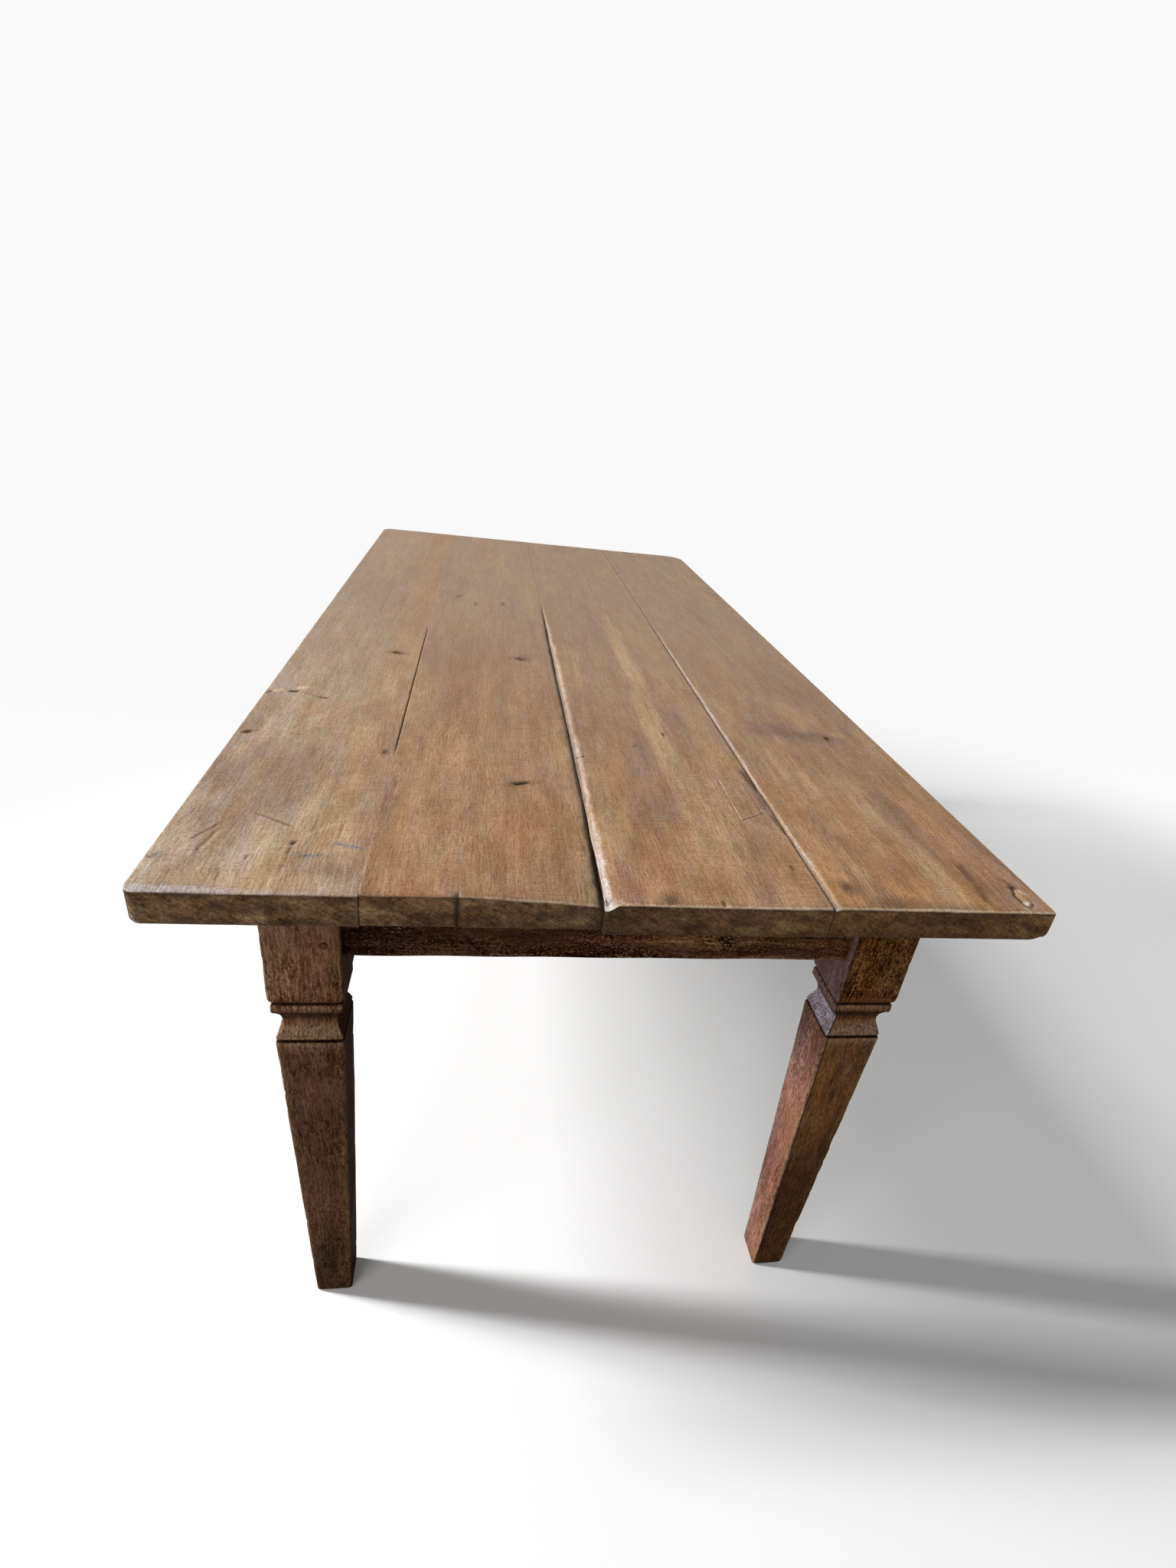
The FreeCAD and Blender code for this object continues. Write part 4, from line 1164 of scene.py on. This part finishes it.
def build_patch():
    """Patch let into the third board, a touch redder, with its edges eased."""
    low, high = patch_low, patch_high
    grid = [grid_lines(low[axis], high[axis], PATCH_GRID[axis], PATCH_EDGES) for axis in (0, 1)]
    grid += [grid_lines(low[axis], high[axis], PATCH_UNDER_GRID[axis], (1.0,)) for axis in (0, 1)]
    points, faces = slab(*grid, [high[2] - drop for drop in PATCH_DROPS] + [low[2]])
    x, y, z = points.T.copy()
    for corner, sign in ((low, 1.0), (high, -1.0)):
        x, z = eased(x, z, corner[0], sign, high[2], 1.0, PATCH_ARRIS, PATCH_ARRIS)
    for corner, sign in ((low, 1.0), (high, -1.0)):
        y, z = eased(y, z, corner[1], sign, high[2], 1.0, PATCH_ARRIS, PATCH_ARRIS)
    top = smooth(2.0, 0.5, high[2] - points[:, 2])
    z = z + (relief(BOARDS[2], x, y) - RELIEF_DROP - PATCH_SUNK + 0.12 * waves(x, y, 18.0, 40.0, 71)) * top
    paint = plain("honey", len(x))
    toward(paint, "greyed_and_sheen", np.full(len(x), 0.15))
    toward(paint, "russet", 0.30 + 0.2 * waves(x, y, 9.0, 60.0, 72))
    toward(paint, "straw", 0.25 * smooth(0.2, 0.9, waves(x, y, 6.0, 90.0, 73)))
    toward(paint, "rubbed_and_highlight", 0.70 * fade(0.6, 2.4, x - low[0]))
    toward(paint, "soot_and_shade", 0.80 * fade(0.3, 1.8, np.minimum(high[0] - x, y - low[1])))
    toward(paint, "umber", 0.50 * fade(0.3, 1.5, high[1] - y))
    points = np.column_stack([x, y + patch_skew(x, y), z])
    return make_piece("worn_patch", points, faces, paint, np.zeros(len(x)), top_wood, "board_patch")


# Legs, aprons and pegs: rings of points skinned one to the next

SIDE_FLATS = np.linspace(-1.0, 1.0, 21)
ARC_STEPS = 4


def ring(half_u, half_v, radius, flats_u=SIDE_FLATS, flats_v=SIDE_FLATS):
    """Rounded rectangle, counter-clockwise: points, outward normals, distance to the nearest arris, side number."""
    rows = []
    for number, out in enumerate(((0.0, -1.0), (1.0, 0.0), (0.0, 1.0), (-1.0, 0.0))):
        out, along = np.array(out), np.array([-out[1], out[0]])
        depth, width, flats = (half_u, half_v, flats_v) if number % 2 else (half_v, half_u, flats_u)
        flat = width - radius
        rows += [(out * depth + along * flat * share, out, flat * (1.0 - abs(share)), number) for share in flats]
        centre = out * (depth - radius) + along * flat
        for step in range(1, ARC_STEPS):
            angle = step / ARC_STEPS * math.pi / 2
            facing = out * math.cos(angle) + along * math.sin(angle)
            rows.append((centre + facing * radius, facing, -1.0, number))
    return [np.array(column) for column in zip(*rows)]


def skin(rings):
    """Faces over rings of equal count, closed at both ends."""
    count, faces = len(rings[0]), []
    for row in range(len(rings) - 1):
        a = row * count
        faces += [(a + k, a + (k + 1) % count, a + count + (k + 1) % count, a + count + k) for k in range(count)]
    last = (len(rings) - 1) * count
    return faces + [tuple(range(count - 1, -1, -1)), tuple(range(last, last + count))]


def ringed_piece(name, rings, looks, material):
    """Piece skinned over rings, with the paint and detail of each ring, that stands for the CAD node of the name."""
    paint, detail = [np.concatenate(column) for column in zip(*looks)]
    return make_piece(f"worn_{name}", np.concatenate(rings), skin(rings), paint, detail, material, name)


# Half width, height and corner round, from the foot to the top of the block
LEG_OUTLINE = (
    (25.0, 0.0, 4.0), (38.5, 515.0, 2.2), (34.8, 515.4, 0.0), (34.8, 517.6, 0.0), (38.5, 518.0, 2.6),
    (27.5, 546.0, 24.0), (37.0, 559.0, 0.0), (39.5, 561.5, 2.5), (39.5, 573.0, 4.0), (36.0, 573.3, 0.0),
    (36.0, 575.7, 0.0), (38.8, 576.0, 1.5), (41.4, 580.5, 4.0), (42.0, 589.0, 6.0), (42.0, 742.0, 0.0),
)
# Half width and height of the rings that ease the foot, and the height from which the outline takes over
FOOT_EASE = ((21.5, 0.0), (24.0, 1.2), (25.1, 3.6))
FOOT_TOP = 5.0
LEG_RING_STEP = 7.0
# Most of a run that a corner round may take, the least cut worth rounding, and points on a round, more on a large one
ROUND_ROOM = 0.75
ROUND_LEAST = 0.05
ROUND_POINTS = (4, 9)
LARGE_ROUND = 5.0
LEG_ARRIS = 4.4
LEG_ARRIS_MOST = 0.3
LEG_SWAY = ((0.0875, 0.037, 1.0), (0.0625, 0.113, 2.0))
NECK = (515.0, 576.0)
NECK_ARRIS = 2.4
LEG_SWELLS = ((0.35, 26.0, 90.0, 0), (0.10, 5.0, 60.0, 1))
# Nicks in the arrises: sizes of the noise, its step from side to side, depth, span of noise and reach
NICK_SIZES = (10.0, 13.0)
NICK_SIDE_STEP = 37.0
NICK_DEPTH = 1.1
NICK_SPAN = (0.55, 0.95)
NICK_REACH = (0.0, 3.0)
# Spacing of the sides in the noise round a leg
LEG_SIDE_STEP = 90.0


def outline_stations(outline, step):
    """Half width and height along an outline with its corners rounded and its long runs divided."""
    spots = [np.array(outline[0][:2])]
    for before, here, after in zip(outline, outline[1:], outline[2:]):
        corner, radius = np.array(here[:2]), here[2]
        back, ahead = np.array(before[:2]) - corner, np.array(after[:2]) - corner
        room = min(np.linalg.norm(back), np.linalg.norm(ahead)) * ROUND_ROOM
        back, ahead = back / np.linalg.norm(back), ahead / np.linalg.norm(ahead)
        half = math.acos(np.clip(back @ ahead, -1, 1)) / 2
        cut = min(radius / max(math.tan(half), TINY), room)
        if cut < ROUND_LEAST:
            spots.append(corner)
            continue
        for t in np.linspace(0.0, 1.0, ROUND_POINTS[radius > LARGE_ROUND]):
            first, second, third = (1 - t) ** 2, 2 * t * (1 - t) * math.sin(half), t * t
            spot = first * (corner + back * cut) + second * corner + third * (corner + ahead * cut)
            spots.append(spot / (first + second + third))
    spots.append(np.array(outline[-1][:2]))
    filled = spots[:1]
    for start, spot in zip(spots, spots[1:]):
        pieces = max(1, int(round(np.linalg.norm(spot - start) / step)))
        filled += [start + (spot - start) * (n + 1) / pieces for n in range(pieces)]
    return filled


def leg_rows():
    """Half width and height of each ring of a leg, with the foot's edge eased."""
    return [*FOOT_EASE, *[row for row in outline_stations(LEG_OUTLINE, LEG_RING_STEP) if row[1] > FOOT_TOP]]


def leg_arris(half, height, seed):
    """Radius of a leg's arrises at one height, uneven along the shaft and block and fine on the neck."""
    if NECK[0] < height < NECK[1]:
        return NECK_ARRIS
    return min(LEG_ARRIS * swayed(height, seed, *LEG_SWAY), half * LEG_ARRIS_MOST)


def build_leg(side, end, seed, tone, rosy):
    """Worn leg: square block, moulded neck and tapered shaft. The rosy share is for the side towards the left, painted
    as lit by the key lamp.
    """
    name = f"leg_{end}_{side}"
    middle = sum(node_box(name)) / 2
    rings, looks = [], []
    for half, height in leg_rows():
        spots, normals, reach, sides = ring(half, half, leg_arris(half, height, seed))
        u, v = spots.T
        around = u * normals[:, 1] - v * normals[:, 0] + LEG_SIDE_STEP * sides
        tall = np.full(len(u), height)
        nick = smooth(*NICK_SPAN, waves(NICK_SIDE_STEP * sides, tall, *NICK_SIZES, seed + 2, 1))
        wear = swells(around, tall, seed, *LEG_SWELLS)
        wear -= NICK_DEPTH * nick * fade(*NICK_REACH, np.maximum(reach, 0.0))
        spots = spots + normals * wear[:, None] + middle[:2]
        rings.append(np.column_stack([spots, tall]))
        looks.append(leg_paint(LegRow(around, tall, reach, sides, half, seed, rosy), tone))
    return ringed_piece(name, rings, looks, frame_woods["z"])


# Colours of the legs

FRONT_SIDE = 0
RIGHT_SIDE = 1
LEFT_SIDE = 3
NECK_SLOPE = (517.9, 548.0)
GROOVE = (514.0, 519.0)
GROOVE_HALF = 37.0
BLOCK_FOOT = 576.0
LEG_WASHES = (
    ("walnut_red", 0.40, (-0.2, 0.8), (30.0, 160.0), 11, 2),
    ("walnut_dark", 0.50, (0.0, 0.9), (22.0, 70.0), 12, 3),
)
# Height, and how far the colour goes there: above 0 towards painted highlight, below 0 towards painted shade
NECK_SHADES = np.array((
    (498.0, 0.0), (505.0, 0.10), (509.0, 0.80), (513.5, 0.95), (514.8, -0.90), (517.8, -0.95), (518.6, 0.60),
    (521.0, 1.0), (530.0, 0.90), (537.0, 0.50), (543.0, -0.30), (549.0, -0.85), (562.0, -0.95), (563.5, 0.75),
    (569.5, 0.95), (571.5, 0.50), (572.8, -0.80), (578.0, -0.85), (581.0, -0.10), (590.0, 0.0),
))
# Height and the strength of the colour there, for the left legs and for the right ones
LEFT_SHADES = np.array((
    (0.0, 0.48), (80.0, 0.52), (180.0, 0.80), (480.0, 0.92), (515.0, 1.0), (576.0, 1.35), (680.0, 1.31), (742.0, 1.18),
))
RIGHT_SHADES = np.array((
    (0.0, 0.55), (230.0, 0.56), (285.0, 0.85), (347.0, 1.12), (480.0, 1.15), (576.0, 1.05), (742.0, 1.0),
))
# Strength of the colour under the painted key light on the lit side
LIT_STRENGTH = 0.88


class LegRow:
    """Points of one ring of a leg: where they are, and the shares of the painted key light on the lit side and of the
    block.
    """

    def __init__(self, around, tall, reach, sides, half, seed, rosy):
        self.around, self.tall, self.height, self.half = around, tall, tall[0], half
        self.on_arris, self.inwards = reach < 0.0, np.maximum(reach, 0.0)
        self.front, self.right, self.left = [sides == number for number in (FRONT_SIDE, RIGHT_SIDE, LEFT_SIDE)]
        self.seed, self.rosy = seed, rosy
        # Share of painted key light on the left side
        self.lit = rosy * self.left * (0.85 + 0.15 * self.noise(12.0, 60.0, 18))
        self.block = smooth(BLOCK_FOOT, BLOCK_FOOT + 14.0, tall)

    def noise(self, size_around, size_up, step):
        """Noise round and up the leg."""
        return waves(self.around, self.tall, size_around, size_up, self.seed + step)


def leg_paint(row, tone):
    """Colours of a leg at one height, with how crazed its finish is."""
    paint = plain(tone, len(row.tall))
    wash(paint, LEG_WASHES, row.around, row.tall, row.seed)
    paint_leg_sides(row, paint)
    strength = np.interp(row.height, *(RIGHT_SHADES if row.rosy else LEFT_SHADES).T)
    # Strength by height, and on the lit side that of the painted key light
    paint *= (strength + (LIT_STRENGTH - strength) * row.lit)[:, None]
    paint_neck(row, paint)
    paint_leg_shade(row, paint)
    crazed = np.maximum(smooth(-0.5, 0.5, row.noise(40.0, 60.0, 17)), 0.62 * row.rosy * row.block)
    crazed = crazed * (0.60 + 0.40 * row.block) * (1.0 - (0.30 + 0.25 * row.block) * (1.0 - row.rosy))
    smoothed = row.rosy * (1.0 - row.block) * (0.70 - 0.45 * row.lit) + 0.8 * row.lit * row.block
    return paint, crazed * (1.0 - smoothed)


def paint_leg_sides(row, paint):
    """Painted key light in rose and mauve on the lit side, and moss, gilt and ochre on the others."""
    tall, lit, rosy = row.tall, row.lit, row.rosy
    # Painted key light on the lit side: rose low down, mauve above the neck's slope, towards the back and higher up
    toward(paint, "rose", 0.85 * lit * smooth(-60.0, 30.0, tall))
    toward(paint, "mauve", 0.90 * lit * smooth(NECK_SLOPE[1] - 6.0, NECK_SLOPE[1], tall))
    by_back = smooth(-14.0, 30.0, row.around - LEG_SIDE_STEP * LEFT_SIDE)
    toward(paint, "mauve", lit * (0.42 * by_back + 0.28 * smooth(330.0, 500.0, tall)))
    toward(paint, "moss", (0.16 - 0.04 * rosy) * (1.0 - lit) * (tall < NECK_SLOPE[0]))
    gilt = rosy * (1.0 - lit) * (tall > BLOCK_FOOT) * smooth(0.0, 0.9, row.noise(22.0, 34.0, 19))
    toward(paint, "ochre", 0.50 * gilt)
    toward(paint, "walnut_rubbed_and_lit", 0.22 * (1.0 - rosy) * smooth(BLOCK_FOOT, BLOCK_FOOT + 10.0, tall))
    toward(paint, "ochre", 0.16 * fade(0.0, 9.0, row.inwards + 3.0 * row.noise(6.0, 14.0, 13)))


def paint_neck(row, paint):
    """Worn arrises, painted highlights on the fillets and the lit slope, and painted shade in the hollows and grooves.
    """
    toward(paint, "walnut_rubbed_and_lit", 0.25 * (row.inwards < 0.5) * smooth(-0.3, 0.6, row.noise(50.0, 38.0, 14)))
    # Painted highlights on the fillets and painted shade in the hollows, by height
    neck = np.interp(row.height, *NECK_SHADES.T) * (1.0 + 0.12 * row.noise(12.0, 5.0, 15))
    toward(paint, "walnut_rubbed_and_lit", np.clip(neck, 0.0, 1.0) * (1.0 - 0.6 * row.lit))
    toward(paint, "soot_and_shade", np.clip(-neck, 0.0, 1.0) * (1.0 - 0.6 * row.lit))
    # Painted highlight on the upward slope of the lit side
    if NECK_SLOPE[0] < row.height < NECK_SLOPE[1]:
        toward(paint, "lilac", 0.95 * row.lit)
    # Painted shade in the groove and along the foot of the block
    if row.half < GROOVE_HALF and (GROOVE[0] < row.height < GROOVE[1] or row.height > BLOCK_FOOT - 3.0):
        toward(paint, "soot_and_shade", 0.85 * (1.0 - 0.7 * row.lit))


def paint_leg_shade(row, paint):
    """Painted shade under the top, on the right side and along arrises, the worn arris of a lit shaft, and a darker lit
    block.
    """
    # Painted shade under the table top
    toward(paint, "walnut_dark", 0.30 * smooth(700.0, 742.0, row.tall))
    # Painted shade on the right side, away from the lamps
    toward(paint, "walnut_dark", 0.90 * row.right)
    paint *= (1.0 - 0.5 * row.right * fade(0.0, 420.0, row.tall))[:, None]
    by_arris = row.front * (row.around > 0.0) * ~row.on_arris * fade(0.5, 4.0, row.inwards)
    toward(paint, "soot_and_shade", 0.75 * row.rosy * by_arris)
    toward(paint, "rubbed_and_highlight", 0.18 * row.rosy * row.left * row.on_arris * (row.tall < BLOCK_FOOT - 80.0))
    # The painted key light is darker on the block
    toward(paint, "walnut_dark", 0.34 * row.lit * row.block)
    # Painted shade by the front's right arris of the left legs
    shaded = (1.0 - row.rosy) * row.front * smooth(-20.0, -42.0, row.around)
    toward(paint, "walnut_dark", shaded * (0.25 + 0.30 * row.block))


# Aprons

APRON_FLATS_HIGH = np.linspace(-1.0, 1.0, 18)
APRON_FLATS_THICK = np.linspace(-1.0, 1.0, 5)
APRON_ARRIS = 2.5
APRON_SWAY = (0.3, 0.05, 1.0)
APRON_STEP = 8.0
APRON_SIDE_STEP = 200.0
APRON_SWELLS = ((0.30, 120.0, 30.0, 0), (0.10, 60.0, 6.0, 1))
# Strip below the top of an apron that stays flat
APRON_TOP = 1.0
TENON_THICKNESS = 12.0
TENON_LENGTH = 45.0
TENON_RISE = np.array((6.0, 88.0))
TENON_ARRIS = 1.0
# Offsets of the rings at each end of an apron: two from the tenon's end, and on tenon and body from the shoulder
TENON_ENDS = (0.0, 1.5)
SHOULDER = (0.2, 0.1)
APRON_TONE = 0.34
APRON_WASHES = (
    ("walnut_dark", 0.50, (-0.3, 0.8), (150.0, 22.0), 21, 2),
    ("walnut_red", 0.30, (0.0, 0.9), (220.0, 12.0), 22, 2),
)
APRON_OCHRE = ("ochre", 0.22, (0.2, 0.9), (70.0, 16.0), 23, 2)
# Place along the apron and the strength of its colour there
NEAR_APRON_SHADES = np.array((
    (-300.0, 0.32), (-230.0, 0.50), (-115.0, 0.95), (-40.0, 1.60), (115.0, 1.60), (190.0, 1.30), (300.0, 1.45),
))
APRON_SHADES = np.array(((0.0, 1.2), (1.0, 1.2)))


def apron_rows(low, high):
    """Place along an apron of each ring, and whether it is on a tenon."""
    first, last = low + TENON_LENGTH, high - TENON_LENGTH
    body = np.linspace(first, last, int(round((last - first) / APRON_STEP)))
    rows = [(low + offset, True) for offset in TENON_ENDS] + [(first - SHOULDER[0], True), (first - SHOULDER[1], False)]
    rows += [(place, False) for place in body] + [(last + SHOULDER[1], False), (last + SHOULDER[0], True)]
    return rows + [(high - offset, True) for offset in reversed(TENON_ENDS)]


def build_apron(name, axis, seed, shades):
    """Worn apron with its tenons. The axis is the one along which it runs."""
    low, high = node_box(name)
    across = 1 - axis
    centre, half = (low + high) / 2, (high - low) / 2
    tenon_half = (TENON_THICKNESS / 2, np.ptp(TENON_RISE) / 2)
    tenon_lift = np.array([0.0, low[2] + TENON_RISE.mean() - centre[2]])
    rings, looks = [], []
    for station, tenon in apron_rows(low[axis], high[axis]):
        radius = TENON_ARRIS if tenon else APRON_ARRIS * swayed(station, seed, APRON_SWAY)
        halves = tenon_half if tenon else (half[across], half[2])
        spots, normals, _, sides = ring(*halves, radius, APRON_FLATS_THICK, APRON_FLATS_HIGH)
        along = np.full(len(spots), station)
        around = spots[:, 1] + APRON_SIDE_STEP * sides
        wear = np.where(spots[:, 1] > half[2] - APRON_TOP, 0.0, swells(along, around, seed, *APRON_SWELLS))
        spots = spots + (tenon_lift if tenon else normals * wear[:, None])
        placed = np.zeros((len(spots), 3))
        placed[:, axis] = along
        placed[:, across] = centre[across] + spots[:, 0] * (-1 if axis else 1)
        placed[:, 2] = centre[2] + spots[:, 1]
        rings.append(placed)
        looks.append(apron_paint(along, placed[:, 2] - low[2], around, seed, shades))
    return ringed_piece(name, rings, looks, frame_woods["xy"[axis]])


def apron_paint(along, up, around, seed, shades):
    """Colours of an apron at one place along it: dark, crazed in stretches, worn on its lower arrises, painted shadow
    under the top.
    """
    paint = plain("walnut", len(along)) * APRON_TONE
    wash(paint, APRON_WASHES, along, around, seed)
    toward(paint, "walnut_red", 0.25 * fade(-220.0, 20.0, along))
    wash(paint, [APRON_OCHRE], along, around, seed)
    # Painted shadow of the top, darker towards the apron's upper edge
    toward(paint, "walnut_dark", 0.50 * smooth(60.0, 106.0, up))
    lower = fade(0.0, 6.0, up) * smooth(-0.3, 0.5, waves(along, around, 45.0, 45.0, seed + 24))
    toward(paint, "walnut_rubbed_and_lit", 0.30 * lower)
    paint *= np.interp(along, *shades.T)[:, None]
    crazed = smooth(-0.8, 0.3, waves(along, around, 170.0, 60.0, seed + 25))
    return paint, crazed * (0.55 + 0.45 * smooth(-200.0, 0.0, along)) * (1.0 - 0.60 * smooth(120.0, 200.0, along))


# Pegs

# Places on the end faces and on the side faces of the leg blocks
PEG_ENDS = (316.0, 917.0)
PEG_SIDES = (382.0, 851.0)
PEG_HEIGHTS = (660.0, 714.0)
PEG_FACETS = 20
PEG_SWAY = ((0.05, 2.0, 1.0), (0.03, 5.0, 2.0))
# Depth from the leg's face and radius, from the inner tip to the head's middle
PEG_ROWS = ((44.0, 3.4), (42.5, 4.9), (4.0, 4.9), (0.0, 4.9), (-0.25, 4.8), (-0.6, 4.3), (-0.75, 2.4))
# Radius from which the head is its rim, and how dark the middle and the rim are
PEG_HEAD_RIM = 4.0
PEG_HEAD_DARK = (0.25, 0.8)


def peg_places():
    """Point on the leg's face and direction inwards of each peg."""
    places = []
    for side, end, height in product((-1, 1), (-1, 1), PEG_HEIGHTS):
        places.append(((side * PEG_ENDS[0], end * PEG_ENDS[1], height), (0.0, -end, 0.0)))
        places.append(((side * PEG_SIDES[0], end * PEG_SIDES[1], height), (-side, 0.0, 0.0)))
    return np.array(places, float)


def build_pegs():
    """Pegs that lock the apron tenons, each a little out of round, in one piece."""
    points, faces, paints = [], [], []
    angles = np.arange(PEG_FACETS) / PEG_FACETS * 2 * math.pi
    for number, (point, inward) in enumerate(peg_places()):
        across = np.cross(inward, (0.0, 0.0, 1.0))
        base = len(points) * PEG_FACETS
        faces += [tuple(base + place for place in face) for face in skin([angles] * len(PEG_ROWS))]
        for depth, radius in PEG_ROWS:
            out = radius * swayed(angles, number, *PEG_SWAY)
            spots = point + inward * depth + np.outer(np.cos(angles) * out, across)
            spots[:, 2] += np.sin(angles) * out
            points.append(spots)
            paint = plain("walnut", PEG_FACETS)
            if depth < 0.0:
                toward(paint, "walnut_dark", np.full(PEG_FACETS, PEG_HEAD_DARK[radius > PEG_HEAD_RIM]))
            paints.append(paint)
    points, paints = np.concatenate(points), np.concatenate(paints)
    detail = np.zeros(len(points))
    return make_piece("worn_pegs", points, faces, paints, detail, frame_woods["z"], "tenon_pegs")


# Side, end, seed, tone and rosy share of each leg; name, axis, seed and shades of each apron
LEGS = (
    ("left", "near", 3, "walnut", 0.0), ("right", "near", 17, "olive", 1.0),
    ("left", "far", 29, "walnut", 0.0), ("right", "far", 41, "walnut", 0.6),
)
APRONS = (
    ("apron_near_end", 0, 5, NEAR_APRON_SHADES), ("apron_far_end", 0, 9, APRON_SHADES),
    ("apron_left_side", 1, 13, APRON_SHADES), ("apron_right_side", 1, 21, APRON_SHADES),
)

for board in BOARDS:
    build_board(board)
build_patch()
for leg in LEGS:
    build_leg(*leg)
for apron in APRONS:
    build_apron(*apron)
build_pegs()

# Material of the CAD nodes that keep their own shape, by the start and a part of their names
DRESS = (
    ("board_tongue", "", inner_woods["y"]), ("cross_rail", "", inner_woods["x"]),
    ("top_button", "_left_", inner_woods["x"]), ("top_button", "_right_", inner_woods["x"]),
    ("top_button", "_near_", inner_woods["y"]), ("top_button", "_far_", inner_woods["y"]),
    ("button_screws", "", steel), ("rail_screws", "", steel),
)
for start, part, material in DRESS:
    for name, cad_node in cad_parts.items():
        if name.startswith(start) and part in name:
            cad_node.data.materials.clear()
            cad_node.data.materials.append(material)


# Floor, light and camera

WHITE = (1.0, 1.0, 1.0, 1.0)
FLOOR_REACH = 40.0
FLOOR_WHITE = 0.93
FLOOR_BOUNCE = 0.50
FLOOR_LIFT = 0.05
# Depth over which the floor's own glow goes down to the backdrop's level
FLOOR_DEPTH = (-0.6, 1.6)
BACKDROP = 0.947
AMBIENT = 0.12
SHADOW_MIDDLE = (0.75, -0.55, 0.0)
SHADOW_REACH = (1.3, 2.6)
# Name, azimuth and elevation in degrees, distance, width, height and level of each lamp
LAMPS = (
    ("key", 174.0, 44.0, 10.0, 1.0, 4.4, 0.86),
    ("side", 174.0, 17.0, 10.0, 0.7, 1.2, 0.75),
    ("fill", 236.0, 26.0, 8.0, 5.0, 3.0, 0.26),
)
LAMP_AIM = Vector((0.0, 0.0, 0.4))
CAMERA_PLACE = Vector((-158.554, -1620.573, 1212.349)) * MM
# Yaw, pitch and roll in radians, and the turn from looking down to looking level
CAMERA_TURNS = ((-0.193930, "Z"), (-0.498795, "X"), (-0.132042, "Y"), (math.pi / 2, "X"))
CAMERA_LENS = {"sensor_width": 36.0, "lens": 17.921, "shift_x": -0.01383, "shift_y": 0.02684}


def seen_directly(tree):
    """1 for rays from the camera and for reflections and glass, which show the backdrop white."""
    path = node(tree, "LightPath").outputs
    seen = maths(tree, "MAXIMUM", path["Is Camera Ray"], path["Is Glossy Ray"])
    return maths(tree, "MAXIMUM", seen, path["Is Transmission Ray"])


def shown(name, data):
    """Object with its data, linked to the scene."""
    made = bpy.data.objects.new(name, data)
    bpy.context.scene.collection.objects.link(made)
    return made


def build_floor():
    """Plain pale floor that keeps the table's shadow and fades into the backdrop away from it."""
    mesh = bpy.data.meshes.new("floor")
    corners = [(x * FLOOR_REACH, y * FLOOR_REACH, 0.0) for x, y in ((-1, -1), (1, -1), (1, 1), (-1, 1))]
    mesh.from_pydata(corners, [], [(0, 1, 2, 3)])
    material, tree, shader = new_material("floor")
    place = node(tree, "TexCoord").outputs["Object"]
    away = node(tree, "VectorMath", {"operation": "DISTANCE"}, i0=place, i1=SHADOW_MIDDLE).outputs["Value"]
    seen = seen_directly(tree)
    white, bounce = [(level, level, level, 1.0) for level in (FLOOR_WHITE, FLOOR_BOUNCE)]
    matt = node(tree, "BsdfDiffuse", Color=blended(tree, seen, bounce, white)).outputs[0]
    lift = node(tree, "Emission", Color=WHITE, Strength=maths(tree, "MULTIPLY", seen, FLOOR_LIFT)).outputs[0]
    lit = node(tree, "AddShader", i0=matt, i1=lift).outputs[0]
    depth = node(tree, "SeparateXYZ", Vector=place).outputs[1]
    glow = node(tree, "Emission", Color=WHITE, Strength=ranged(tree, depth, *FLOOR_DEPTH, 1.0, BACKDROP)).outputs[0]
    faded = maths(tree, "MULTIPLY", ranged(tree, away, *SHADOW_REACH), seen)
    mixed = node(tree, "MixShader", i0=faded, i1=lit, i2=glow).outputs[0]
    tree.links.new(mixed, shader.outputs[0].links[0].to_socket)
    tree.nodes.remove(shader)
    mesh.materials.append(material)
    floor = shown("floor", mesh)


def build_world():
    """White backdrop for the camera and reflections, with a gentler level for the light it gives."""
    world = bpy.data.worlds.new("studio")
    bpy.context.scene.world = world
    world.use_nodes = True
    tree = world.node_tree
    tree.nodes.clear()
    soft, white = [node(tree, "Background", Color=WHITE, Strength=level).outputs[0] for level in (AMBIENT, BACKDROP)]
    mixed = node(tree, "MixShader", i0=seen_directly(tree), i1=soft, i2=white).outputs[0]
    tree.links.new(mixed, node(tree, "OutputWorld").inputs[0])


def area_light(name, azimuth, elevation, distance, width, height, level):
    """Rectangular lamp aimed at the table. Level 1 gives a facing white surface its own colour."""
    lamp = bpy.data.lights.new(name, "AREA")
    lamp.shape = "RECTANGLE"
    lamp.size, lamp.size_y = width, height
    lamp.energy = level * math.pi ** 2 * distance ** 2
    a, e = math.radians(azimuth), math.radians(elevation)
    back = Vector((math.cos(a) * math.cos(e), math.sin(a) * math.cos(e), math.sin(e)))
    made = shown(name, lamp)
    made.location = back * distance + LAMP_AIM
    made.rotation_mode = "QUATERNION"
    made.rotation_quaternion = back.to_track_quat("Z", "Y")


def build_camera():
    """Camera at the photograph's place and angle."""
    lens = bpy.data.cameras.new("photo_camera")
    for key, value in CAMERA_LENS.items():
        setattr(lens, key, value)
    camera = shown("photo_camera", lens)
    turned = Matrix.Translation(CAMERA_PLACE)
    for angle, axis in CAMERA_TURNS:
        turned = turned @ Matrix.Rotation(angle, 4, axis)
    camera.matrix_world = turned
    bpy.context.scene.camera = camera


build_floor()
build_world()
for lamp in LAMPS:
    area_light(*lamp)
build_camera()
bpy.context.scene.view_settings.view_transform = "Standard"
